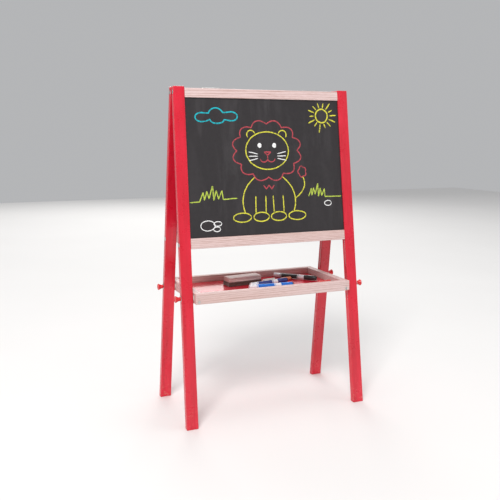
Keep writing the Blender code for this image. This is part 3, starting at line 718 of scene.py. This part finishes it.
# ---- what lies in the tray ----------------------------------------------------------------------------
CAP_START = 0.0925               # from a marker's tail
CAP_LENGTH = 0.0375
CAP_PULL = 0.036                 # room past a marker's cap, for pulling it off
WIPER = 0.0038                   # felt on the cap's end
BARREL_R, CAP_R = 0.0063, 0.0070
MARKER_INKS = {"blue": (0.012, 0.17, 0.66), "navy": (0.016, 0.030, 0.20), "black": (0.022, 0.022, 0.024)}
ERASER_LENGTH, ERASER_WIDTH = 0.105, 0.036


def grip_ribs(low, high, radius, count, deep):
    """Rings of shallow ribs round a turned piece."""
    rings = []
    pitch = (high - low) / count
    for i in range(count):
        z = low + i * pitch
        rings += [(radius, z + 0.1 * pitch), (radius, z + 0.45 * pitch), (radius - deep, z + 0.6 * pitch),
                  (radius - deep, z + 0.9 * pitch)]
    return rings


def barrel_rings():
    """A marker's barrel, from its tail to the end of the neck that holds the nib."""
    shoulder = CAP_START - 0.0003
    tail = reversed(round_over(BARREL_R, 0.0, 0.0010, 4))
    rings = [(0.0030, 0.0004), (0.0034, 0.0)] + [(r, -z) for r, z in tail]
    rings += [(BARREL_R, 0.012), (BARREL_R - 0.0001, 0.0122), (BARREL_R - 0.0001, 0.0128),
              (BARREL_R, 0.013), (BARREL_R, shoulder - 0.0004), (BARREL_R - 0.0003, shoulder)]
    neck = ((0.0048, 0), (0.0048, 0.006), (0.0049, 0.007), (0.0048, 0.008))
    rings += [(r, shoulder + z) for r, z in neck]
    tip = ((0.0048, 0.018), (0.0042, 0.022), (0.0022, 0.0255), (0.0021, 0.0262))
    return rings + [(r, CAP_START + z) for r, z in tip]


def cap_rings(end):
    """A marker's ribbed cap as one closed section: its mouth, its outside, its end and its bore."""
    rings = [(0.0054, CAP_START), (CAP_R - 0.0002, CAP_START), (CAP_R, CAP_START + 0.0003)]
    rings += grip_ribs(CAP_START + 0.002, CAP_START + 0.012, CAP_R, 6, 0.00028)
    rings += [(CAP_R, CAP_START + 0.0125), (CAP_R - 0.0003, end - 0.004)]
    rings += round_over(CAP_R - 0.0003, end, 0.0009, 4)
    return rings + [(0.0052, end), (0.0051, end - 0.0010), (0.0001, end - 0.0010), (0.0001, end - 0.0022),
                    (0.0054, end - 0.0022)]


def make_marker(colour, white, felt):
    """A dry-wipe marker: a banded barrel, a nib, and a ribbed cap with a felt wiper on its end."""
    body, cap_body = f"{colour}_marker", f"{colour}_marker_cap"
    barrel, cap = f"{colour}_marker_barrel", f"{colour}_marker_cap"
    start, direction, _ = long_axis(barrel, towards=cap)
    place = axis_matrix(direction, start)
    coloured = plastic(f"{colour}_marker_plastic", MARKER_INKS[colour], 0.28, Coat_Weight=0.2)
    turned(barrel + "_fine", barrel_rings(), white, place, body, (barrel,), sides=40)

    nib = ((0.0017, 0), (0.0017, 0.0022), (0.0015, 0.0036), (0.0008, 0.0048))
    turned(f"{colour}_marker_nib", [(r, CAP_START + 0.0258 + z) for r, z in nib], coloured, place, body,
           sides=24)
    for part, low, high in (("band", 0.0240, 0.0720), ("stripe_1", 0.0203, 0.0217),
                            ("stripe_2", 0.0743, 0.0757)):
        outer = [(BARREL_R + 0.00012, low), (BARREL_R + 0.00012, high)]
        turned(f"{colour}_marker_{part}", tube(outer, BARREL_R - 0.0004), coloured, place, body,
               sides=40, closed=True)
    plug = [(0.0001, 0.0003), (0.0029, 0.0006), (0.0030, 0.0020), (0.0001, 0.0020)]
    turned(f"{colour}_marker_tail_plug", plug, coloured, place, body, sides=32)

    end = CAP_START + CAP_LENGTH - WIPER
    turned(cap + "_fine", cap_rings(end), coloured, place, cap_body, (cap,), sides=48,
           closed=True)

    rng = random.Random(f"wiper {colour}")
    wiper = [(0.0001, end - 0.0008), (0.0049, end - 0.0008), (0.0052, end), (0.0053, end + 0.0010)]
    wiper += [(0.0053 - 0.0002 * i ** 2 / 4, end + 0.0010 + (WIPER - 0.0014) * i / 4) for i in range(1, 5)]
    wiper += [(0.0036, end + WIPER - 0.0003), (0.0001, end + WIPER - 0.0002)]
    bm = stack(wiper, 36)
    for vertex in bm.verts:
        if vertex.co.z > end:
            vertex.co.xy *= 1 - 0.02 * rng.random()
    add_piece(f"{colour}_marker_wiper", bm, felt, place, cap_body, smooth_angle=60)


def make_chalk(colour, material):
    """A stick of chalk: slightly tapered and uneven, with a worn, slanting end."""
    node = f"{colour}_chalk"
    start, direction, length = long_axis(node)
    rng = random.Random(f"chalk {colour}")
    rings = [(0.0028, 0.0002), (0.0042, 0.0004), (0.0046, 0.0010)]
    steps = [i / 16 for i in range(17)]
    rings += [(0.0047 - 0.0004 * t, 0.0020 + (length - 0.0046) * t) for t in steps]
    rings += [(0.0039, length - 0.0016), (0.0031, length - 0.0006), (0.0014, length - 0.0002)]
    bm = stack(rings, 28)
    slant = Vector((rng.uniform(-1, 1), rng.uniform(-1, 1), 0)).normalized()
    for vertex in bm.verts:
        wobble = noise.noise(vertex.co * 420 + Vector((len(colour), 0, 0)))
        vertex.co.xy *= 1 - 0.035 * abs(wobble)
        if vertex.co.z > length - 0.004:
            vertex.co.z -= max(0.0, vertex.co.xy.to_3d().dot(slant) + 0.002) * 0.32
    place = axis_matrix(direction, start)
    add_piece(node + "_fine", bm, material, place, node, (node,), smooth_angle=60)


def make_eraser(felt, pale_pine):
    """A felt pad of pressed layers under a wooden grip that is hollowed along its sides for the fingers."""
    low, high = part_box("eraser_felt")
    heading = long_axis("eraser_felt")[1]
    turn = Matrix.Rotation(math.atan2(heading.y, heading.x), 4, "Z")
    place = Matrix.Translation(((low.x + high.x) / 2, (low.y + high.y) / 2, low.z)) @ turn
    half_x, half_y = ERASER_LENGTH / 2, ERASER_WIDTH / 2
    felt_top = high.z - low.z
    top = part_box("eraser_grip")[1].z - low.z

    layers = 5
    pitch = ERASER_WIDTH / layers
    bm = bmesh.new()
    for layer in range(layers):
        y = -half_y + pitch * (layer + 0.5)
        slab(bm, (-half_x, y - pitch * 0.49, 0.0), (half_x, y + pitch * 0.49, felt_top), (84, 6, 9), 0.0010)
    for vertex in bm.verts:
        fuzz = noise.noise_vector(vertex.co * 900) * 0.00028
        vertex.co += Vector((fuzz.x, fuzz.y, fuzz.z * 0.4))
        vertex.co.x = max(-half_x, min(half_x, vertex.co.x))
        vertex.co.y = max(-half_y, min(half_y, vertex.co.y))
        vertex.co.z = max(0.0, min(felt_top, vertex.co.z))
    add_piece("eraser_felt_fine", bm, felt, place, "eraser", ("eraser_felt",), smooth_angle=80)

    bm = bmesh.new()
    slab(bm, (-half_x + 0.0005, -half_y + 0.0005, felt_top + 0.0002),
         (half_x - 0.0005, half_y - 0.0005, top), (60, 18, 12), 0.0026)
    for vertex in bm.verts:
        up = (vertex.co.z - felt_top) / (top - felt_top)
        hollow = math.sin(math.pi * min(1.0, max(0.0, up))) ** 2
        near_end = min(1.0, max(0.0, (half_x - 0.010 - abs(vertex.co.x)) / 0.012))
        vertex.co.y *= 1 - 0.11 * hollow * near_end
        if up > 0.5:
            vertex.co.z -= 0.0011 * (vertex.co.y / half_y) ** 2
    add_piece("eraser_grip_fine", bm, pale_pine, place, "eraser", ("eraser_grip",), smooth_angle=50)


def slab(bm, low, high, counts, radius):
    """A finely divided box with rounded edges, its divisions closer together near its edges."""
    low, high = Vector(low), Vector(high)
    centre, half = (low + high) / 2, (high - low) / 2
    verts = {}

    def vertex(*index):
        if index not in verts:
            point = Vector([-half[i] * math.cos(math.pi * index[i] / counts[i]) for i in range(3)])
            core = Vector([max(radius - half[i], min(half[i] - radius, point[i])) for i in range(3)])
            out = point - core
            verts[index] = bm.verts.new(centre + core + out.normalized() * min(out.length, radius))
        return verts[index]

    for axis in range(3):
        a, b = [n for n in range(3) if n != axis]
        for side in (0, counts[axis]):
            for i in range(counts[a]):
                for j in range(counts[b]):
                    corners = []
                    for di, dj in ((0, 0), (1, 0), (1, 1), (0, 1)):
                        index = [side] * 3
                        index[a], index[b] = i + di, j + dj
                        corners.append(vertex(*index))
                    bm.faces.new(corners)


def make_crumbs(materials):
    """Crumbs broken off round each stick of chalk in the tray, in the stick's colour."""
    floor_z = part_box("tray_floor_panel")[1].z
    margin = 0.002               # from the tray's rails
    low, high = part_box("tray_left_rail")[1].x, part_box("tray_right_rail")[0].x
    front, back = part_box("tray_front_rail")[1].y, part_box("tray_back_rail")[0].y
    for colour, material in materials.items():
        rng = random.Random(f"crumbs {colour}")
        start, direction, length = long_axis(f"{colour}_chalk")
        bm = bmesh.new()
        for _ in range(26):
            spread = rng.gauss(0, 1), rng.gauss(0, 1)
            x = start.x + direction.x * length * rng.random() + 0.028 * spread[0]
            y = start.y + direction.y * length * rng.random() + 0.016 * spread[1]
            size = rng.uniform(0.0004, 0.0012)
            x = min(high - margin, max(low + margin, x))
            y = min(back - margin, max(front + margin, y))
            made = bmesh.ops.create_icosphere(bm, subdivisions=1, radius=size)["verts"]
            for vertex in made:
                vertex.co *= rng.uniform(0.7, 1.1)
                vertex.co.z = max(vertex.co.z * 0.7, -size * 0.45)
            bmesh.ops.translate(bm, vec=(x, y, floor_z + size * 0.45 + 0.00005), verts=made)
        if clear_of_pieces(bm):
            add_piece(f"{colour}_chalk_crumbs", bm, material, Matrix.Identity(4), "tray")


def clear_of_pieces(bm):
    """Drop the crumbs under or inside something in the tray, or in a cap's way. Says if any are left."""
    lying = []
    for node in NODES:
        if node.endswith("_barrel"):
            start, direction, length = long_axis(node, towards=node.replace("_barrel", "_cap"))
            lying.append((start.to_2d(), direction.to_2d(), length + CAP_PULL, 0.0085))
        elif node.endswith("_chalk"):
            start, direction, length = long_axis(node)
            lying.append((start.to_2d(), direction.to_2d(), length, 0.0065))
    start, direction, length = long_axis("eraser_felt")
    lying.append((start.to_2d(), direction.to_2d(), length, 0.0205))
    doomed = set()
    for vertex in bm.verts:
        for start, direction, length, reach in lying:
            offset = vertex.co.to_2d() - start
            along = max(0.0, min(length, offset.dot(direction)))
            if (offset - direction * along).length < reach:
                doomed.add(vertex)
    hit = set(doomed)
    while doomed:
        vertex = doomed.pop()
        for edge in vertex.link_edges:
            other = edge.other_vert(vertex)
            if other not in hit:
                hit.add(other)
                doomed.add(other)
    bmesh.ops.delete(bm, geom=list(hit), context="VERTS")
    return len(bm.verts) > 0


# ---- drawings on the boards ---------------------------------------------------------------------------
CHALK = {
    "yellow": (0.74, 0.70, 0.07),
    "green": (0.50, 0.62, 0.09),
    "red": (0.50, 0.075, 0.095),
    "cyan": (0.02, 0.46, 0.54),
    "white": (0.86, 0.86, 0.86),
}
LINE = 0.0030                    # a chalk line's width
SHAKE = 0.0006                   # how far a hand's tremor moves a line
SUNK = 0.00003                   # how far a drawing's back lies inside the board's face
SUN_RAYS = (0.047, 0.040, 0.049, 0.041, 0.042, 0.040, 0.045, 0.038, 0.048, 0.040, 0.053, 0.039, 0.043,
            0.048)               # how far each ray reaches from the sun's middle


def arc(centre, radii, start, end):
    """Points of an elliptical arc, in degrees from +x, counterclockwise."""
    rx, rz = (radii, radii) if isinstance(radii, (int, float)) else radii
    count = max(6, int(abs(end - start) / 9))
    steps = [math.radians(start + (end - start) * i / count) for i in range(count + 1)]
    return [(centre[0] + rx * math.cos(a), centre[1] + rz * math.sin(a)) for a in steps]


def quadratic(a, b, c):
    """Points of a quadratic curve."""
    a, b, c = Vector(a), Vector(b), Vector(c)
    steps = [i / 12 for i in range(13)]
    return [tuple(a * (1 - t) ** 2 + b * 2 * t * (1 - t) + c * t * t) for t in steps]


def scallops(centre, radii, bumps, deep):
    """A closed outline of rounded bumps round an ellipse."""
    points = []
    for i in range(bumps * 12 + 1):
        a = TAU * i / (bumps * 12)
        swell = 1 + deep * abs(math.sin(bumps * a / 2))
        points.append((centre[0] + radii[0] * swell * math.cos(a),
                       centre[1] + radii[1] * swell * math.sin(a)))
    return points


def grass(start, end, tufts, height):
    """A zigzag of grass blades that rises to its middle."""
    points = []
    for i in range(2 * tufts + 1):
        t = i / (2 * tufts)
        x, z = start[0] + (end[0] - start[0]) * t, start[1] + (end[1] - start[1]) * t
        if i % 2:
            z += height * (0.45 + 0.55 * math.sin(math.pi * t)) * (1.0 if i % 4 == 1 else 0.74)
            x += 0.004 if i % 4 == 1 else 0.001
        elif 0 < i < 2 * tufts:
            z += 0.003 * ((i // 2) % 3)
        points.append((x, z))
    return points


def resample(points, step):
    """The same line with evenly spaced points."""
    line = [Vector(p) for p in points]
    lengths = [0.0]
    for a, b in zip(line, line[1:]):
        lengths.append(lengths[-1] + (b - a).length)
    count = max(2, round(lengths[-1] / step))
    result, k = [], 0
    for i in range(count + 1):
        target = lengths[-1] * i / count
        while k < len(line) - 2 and lengths[k + 1] < target:
            k += 1
        span = lengths[k + 1] - lengths[k]
        result.append(line[k].lerp(line[k + 1], (target - lengths[k]) / span if span > 0 else 0.0))
    return result


def stroke(bm, points, width, lift, rng, face_y):
    """A thin raised ribbon along a line on a board, with an uneven edge and a hand's slight shake."""
    line = resample(points, 0.0016)
    seed = Vector((rng.uniform(0, 50), rng.uniform(0, 50), 0))
    base = face_y - SUNK
    sections = []
    for i, point in enumerate(line):
        before, after = line[max(0, i - 1)], line[min(len(line) - 1, i + 1)]
        way = (after - before).normalized() if (after - before).length > 0 else Vector((1, 0))
        across = Vector((-way.y, way.x))
        at = seed + Vector((i * 0.09, 0, 0))
        middle = point + across * SHAKE * noise.noise(at * 1.4)
        end = min(1.0, 0.45 + 0.2 * min(i, len(line) - 1 - i))
        half = width / 2 * end * (1 + 0.22 * noise.noise(at * 9) + 0.10 * noise.noise(at * 31))
        ring = []
        for offset, rise in ((-1, 0), (-0.72, 0.75), (0, 1), (0.72, 0.75), (1, 0)):
            flat = middle + across * half * offset
            ring.append(bm.verts.new((flat.x, base - lift * rise, flat.y)))
        sections.append(ring)
    for a, b in zip(sections, sections[1:]):
        bridge(bm, a, b)
    bm.faces.new(sections[0])
    bm.faces.new(reversed(sections[-1]))


def blob(bm, centre, radius, lift, rng, face_y):
    """A filled, slightly uneven spot of ink."""
    base = face_y - SUNK
    sides = 40
    seed = rng.uniform(0, 50)
    low, high = [], []
    for k in range(sides):
        a = TAU * k / sides
        r = radius * (1 + 0.05 * noise.noise(Vector((seed, 1.6 * math.cos(a), 1.6 * math.sin(a)))))
        x, z = centre[0] + r * math.cos(a), centre[1] + r * math.sin(a)
        low.append(bm.verts.new((x, base, z)))
        high.append(bm.verts.new((x, base - lift, z)))
    bm.faces.new(low)
    bm.faces.new(reversed(high))
    bridge(bm, low, high)


def lion_lines():
    """A plain sitting lion: (colour, width, points) for each stroke, on the board."""
    lines = []

    def draw(colour, points, width=LINE):
        lines.append((colour, width, points))

    x, z = 0.002, -0.168         # the middle of the face
    paws_z = -0.346
    draw("red", scallops((x, z), (0.090, 0.072), 12, 0.16), 0.0032)
    draw("yellow", arc((x, z), (0.064, 0.051), 10, 375))
    nose = [(x - 0.010, z - 0.004), (x + 0.010, z - 0.004), (x, z - 0.013)]
    draw("red", nose + nose[:1], 0.0034)
    draw("red", [(x, z - 0.013), (x, z - 0.022)])
    draw("red", [(x + 0.008 * i, -0.272 if i % 2 else -0.262) for i in range(-2, 3)])
    for side in (-1, 1):
        draw("yellow", arc((x + side * 0.047, z + 0.043), 0.012, 90 - side * 125, 90 + side * 75))
        draw("white", arc((x + side * 0.022, z + 0.014), 0.0034, 0, 360), 0.0066)
        draw("red", arc((x + side * 0.011, z - 0.022), (0.011, 0.009), 180, 360))
        for rise in (-0.006, 0.0, 0.006):
            whisker = [(x + side * 0.029, z - 0.015 + rise), (x + side * 0.056, z - 0.015 + 2 * rise)]
            draw("white", whisker, 0.0024)
        shoulder, hip = (x + side * 0.042, -0.240), (x + side * 0.072, -0.336)
        draw("yellow", quadratic(shoulder, (x + side * 0.094, -0.280), hip))
        draw("yellow", arc((x + side * 0.082, paws_z), (0.026, 0.012), 0, 365))
        for edge in (0.011, 0.041):
            draw("yellow", [(x + side * edge, -0.290), (x + side * (edge + 0.001), -0.335)])
        draw("yellow", arc((x + side * 0.026, paws_z), (0.023, 0.012), 0, 365))
    draw("yellow", quadratic((0.080, -0.300), (0.124, -0.272), (0.106, -0.240)))
    draw("red", scallops((0.105, -0.227), (0.010, 0.012), 5, 0.3))
    return lines


def scenery_lines():
    """Sun, cloud, grass and stones round the lion."""
    lines = []
    sun = (0.175, -0.072)
    lines.append(("yellow", 0.0038, arc(sun, 0.0190, 10, 385)))
    for k, reach in enumerate(SUN_RAYS):
        a = TAU * (k + 0.1) / len(SUN_RAYS)
        ray = [(sun[0] + r * math.cos(a), sun[1] + 0.9 * r * math.sin(a)) for r in (0.025, reach)]
        lines.append(("yellow", 0.0034, ray))
    cloud = (arc((-0.184, -0.079), (0.018, 0.012), 300, 95)
             + arc((-0.144, -0.073), (0.021, 0.019), 165, 20)
             + arc((-0.100, -0.076), (0.018, 0.012), 95, -95)
             + arc((-0.141, -0.085), (0.020, 0.010), 0, -180) + [(-0.175, -0.090)])
    lines.append(("cyan", 0.0036, cloud))
    ground = -0.300
    lines.append(("green", LINE, [(-0.226, ground - 0.001), (-0.199, ground)]
                  + grass((-0.199, ground), (-0.133, -0.296), 5, 0.038) + [(-0.092, -0.294)]))
    lines.append(("green", LINE, grass((0.122, -0.296), (0.174, -0.298), 5, 0.036) + [(0.226, -0.298)]))
    for centre, radii in (((-0.179, -0.363), (0.020, 0.013)), ((-0.151, -0.359), (0.011, 0.006)),
                          ((-0.154, -0.373), (0.010, 0.006)), ((0.182, -0.316), (0.011, 0.007))):
        lines.append(("white", 0.0022, arc(centre, radii, 20, 385)))
    return lines


def make_chalk_drawing():
    """A chalk drawing, as one raised piece for each colour of chalk."""
    face_y = local_box("front_chalkboard", PLACES["front"])[0].y
    meshes = {}
    for index, (colour, width, points) in enumerate(scenery_lines() + lion_lines()):
        bm = meshes.setdefault(colour, bmesh.new())
        lift = 0.00014 + 0.000004 * (index % 23)
        stroke(bm, points, width, lift, random.Random(f"stroke {index}"), face_y)
    for colour, bm in meshes.items():
        # the white lines are pressed harder
        material = chalk_line(f"drawn_{colour}", CHALK[colour], 0.12 if colour == "white" else 0.0)
        add_piece(f"chalk_drawing_{colour}", bm, material, PLACES["front"], "front_frame",
                  smooth_angle=60)


def make_marker_drawing():
    """A caterpillar and a few balls, drawn on the whiteboard with dry-wipe ink."""
    face_y = local_box("rear_whiteboard", PLACES["rear"])[0].y
    inks = {"pink": (0.80, 0.012, 0.20), "orange": (0.86, 0.17, 0.01), "red": (0.70, 0.01, 0.02),
            "green": (0.16, 0.55, 0.03), "black": (0.012, 0.012, 0.014)}
    meshes = {name: bmesh.new() for name in inks}
    rng = random.Random("marker drawing")
    head_x, head_z = -0.062, -0.150
    segments = 6
    for k in range(segments):
        t = k / (segments - 1)
        centre = (head_x + 0.135 * t, head_z - 0.110 * t - 0.030 * math.sin(math.pi * t) ** 2)
        blob(meshes["pink"], centre, 0.030 - 0.014 * t, 0.00010 + 0.00001 * k, rng, face_y)
    for side in (-1, 1):
        eye_x = head_x + side * 0.011
        blob(meshes["black"], (eye_x, head_z + 0.006), 0.0035, 0.00020, rng, face_y)
        feeler = quadratic((eye_x, -0.122), (eye_x + side * 0.004, -0.110), (eye_x + side * 0.013, -0.104))
        stroke(meshes["black"], feeler, 0.0028, 0.00012, rng, face_y)
    smile = arc((head_x, head_z - 0.002), (0.012, 0.009), 200, 340)
    stroke(meshes["black"], smile, 0.0028, 0.00020, rng, face_y)
    for colour, centre, radius in (("red", (-0.118, -0.105), 0.013), ("red", (-0.150, -0.140), 0.010),
                                   ("orange", (0.090, -0.130), 0.016), ("green", (0.068, -0.172), 0.008),
                                   ("red", (0.045, -0.197), 0.009), ("orange", (0.118, -0.222), 0.024),
                                   ("green", (-0.100, -0.245), 0.009), ("orange", (-0.135, -0.225), 0.007)):
        blob(meshes[colour], centre, radius, 0.00010, rng, face_y)
    for colour, bm in meshes.items():
        add_piece(f"marker_drawing_{colour}", bm, ink(f"drawn_ink_{colour}", inks[colour]), PLACES["rear"],
                  "rear_frame", smooth_angle=60)


# ---- stage --------------------------------------------------------------------------------------------
FLOOR_HALF = 6                   # half the studio floor's width
# name, place, the point it aims at, its two sides, power in watts, colour
SOFTBOXES = (
    ("key", (-2.0, -2.6, 3.9), (0, 0, 0.5), (1.5, 1.5), 156, (1.0, 0.985, 0.97)),
    ("fill", (4.0, -2.6, 2.4), (0, 0, 0.4), (2.6, 2.6), 22, (0.95, 0.97, 1.0)),
    ("top", (0.2, 0.8, 4.6), (0, 0, 0.4), (3.2, 3.2), 50, (1.0, 1.0, 1.0)),
    ("back", (1.2, 4.8, 2.9), (0, 0, 0.5), (2.8, 2.4), 85, (1.0, 0.99, 0.97)),
)


def make_stage():
    """A pale floor and soft studio light, mostly from the left and in front."""
    bm = bmesh.new()
    bmesh.ops.create_grid(bm, x_segments=1, y_segments=1, size=FLOOR_HALF)
    mesh = bpy.data.meshes.new("studio_floor")
    bm.to_mesh(mesh)
    bm.free()
    finish = Finish("studio_floor", Roughness=0.85, Specular_IOR_Level=0.2)
    finish.colour(finish.mix(finish.noise(1.4, 2), (0.80, 0.79, 0.78), (0.84, 0.83, 0.82)))
    mesh.materials.append(finish.material)
    floor = bpy.data.objects.new("studio_floor", mesh)
    bpy.context.scene.collection.objects.link(floor)

    for name, place, aim, size, power, colour in SOFTBOXES:
        light = bpy.data.lights.new(name, "AREA")
        light.shape = "RECTANGLE"
        light.size, light.size_y = size
        light.energy = power
        light.color = colour
        lamp = bpy.data.objects.new(name, light)
        lamp.location = place
        lamp.rotation_euler = (Vector(aim) - Vector(place)).to_track_quat("-Z", "Y").to_euler()
        bpy.context.scene.collection.objects.link(lamp)
    world = bpy.data.worlds.new("studio")
    world.use_nodes = True
    background = world.node_tree.nodes["Background"]
    background.inputs["Color"].default_value = (0.92, 0.93, 0.95, 1)
    background.inputs["Strength"].default_value = 0.50
    bpy.context.scene.world = world
    bpy.context.scene.view_settings.view_transform = "Standard"


def make_camera():
    """The view: level with the chalkboard's upper half, from the left of its middle."""
    data = bpy.data.cameras.new("view")
    data.lens = 47.09
    data.sensor_width = 36
    data.shift_x = 0.0783
    data.shift_y = -0.1344
    camera = bpy.data.objects.new("view", data)
    camera.location = (-0.7791, -1.631, 0.7362)
    camera.rotation_euler = (math.radians(86), 0, math.radians(-21.12))
    bpy.context.scene.collection.objects.link(camera)
    bpy.context.scene.camera = camera


# ---- the whole easel ----------------------------------------------------------------------------------
def main():
    make_camera()
    make_stage()
    zinc = metal("zinc_plate", (0.66, 0.66, 0.64))
    brass = metal("brass", (0.74, 0.52, 0.22))
    nylon = plastic("natural_nylon", (0.80, 0.79, 0.74), 0.38, Subsurface_Weight=0.08)
    red = plastic("red_knob_plastic", (0.66, 0.008, 0.012), 0.24, Coat_Weight=0.3)
    white = plastic("white_marker_plastic", (0.80, 0.80, 0.83), 0.30, Coat_Weight=0.2)
    felt = felt_finish()
    finish_wood_and_boards()
    make_hinge_parts(zinc)
    make_rail_fasteners(zinc)
    make_knobs(red, zinc)
    make_tray_hardware(zinc, brass, nylon)
    wiper_felt = powdery("wiper_felt", (0.020, 0.018, 0.018))
    for colour in MARKER_INKS:
        make_marker(colour, white, wiper_felt)
    chalks = {"red": powdery("red_stick", (0.66, 0.040, 0.035)),
              "white": powdery("white_stick", (0.86, 0.84, 0.80)),
              "orange": powdery("orange_stick", (0.82, 0.27, 0.13))}
    for colour, material in chalks.items():
        make_chalk(colour, material)
    make_crumbs(chalks)
    make_eraser(felt, pine("grip_pine", None, "X", (0, 0.03, -0.02), 51.3))
    make_chalk_drawing()
    make_marker_drawing()


main()
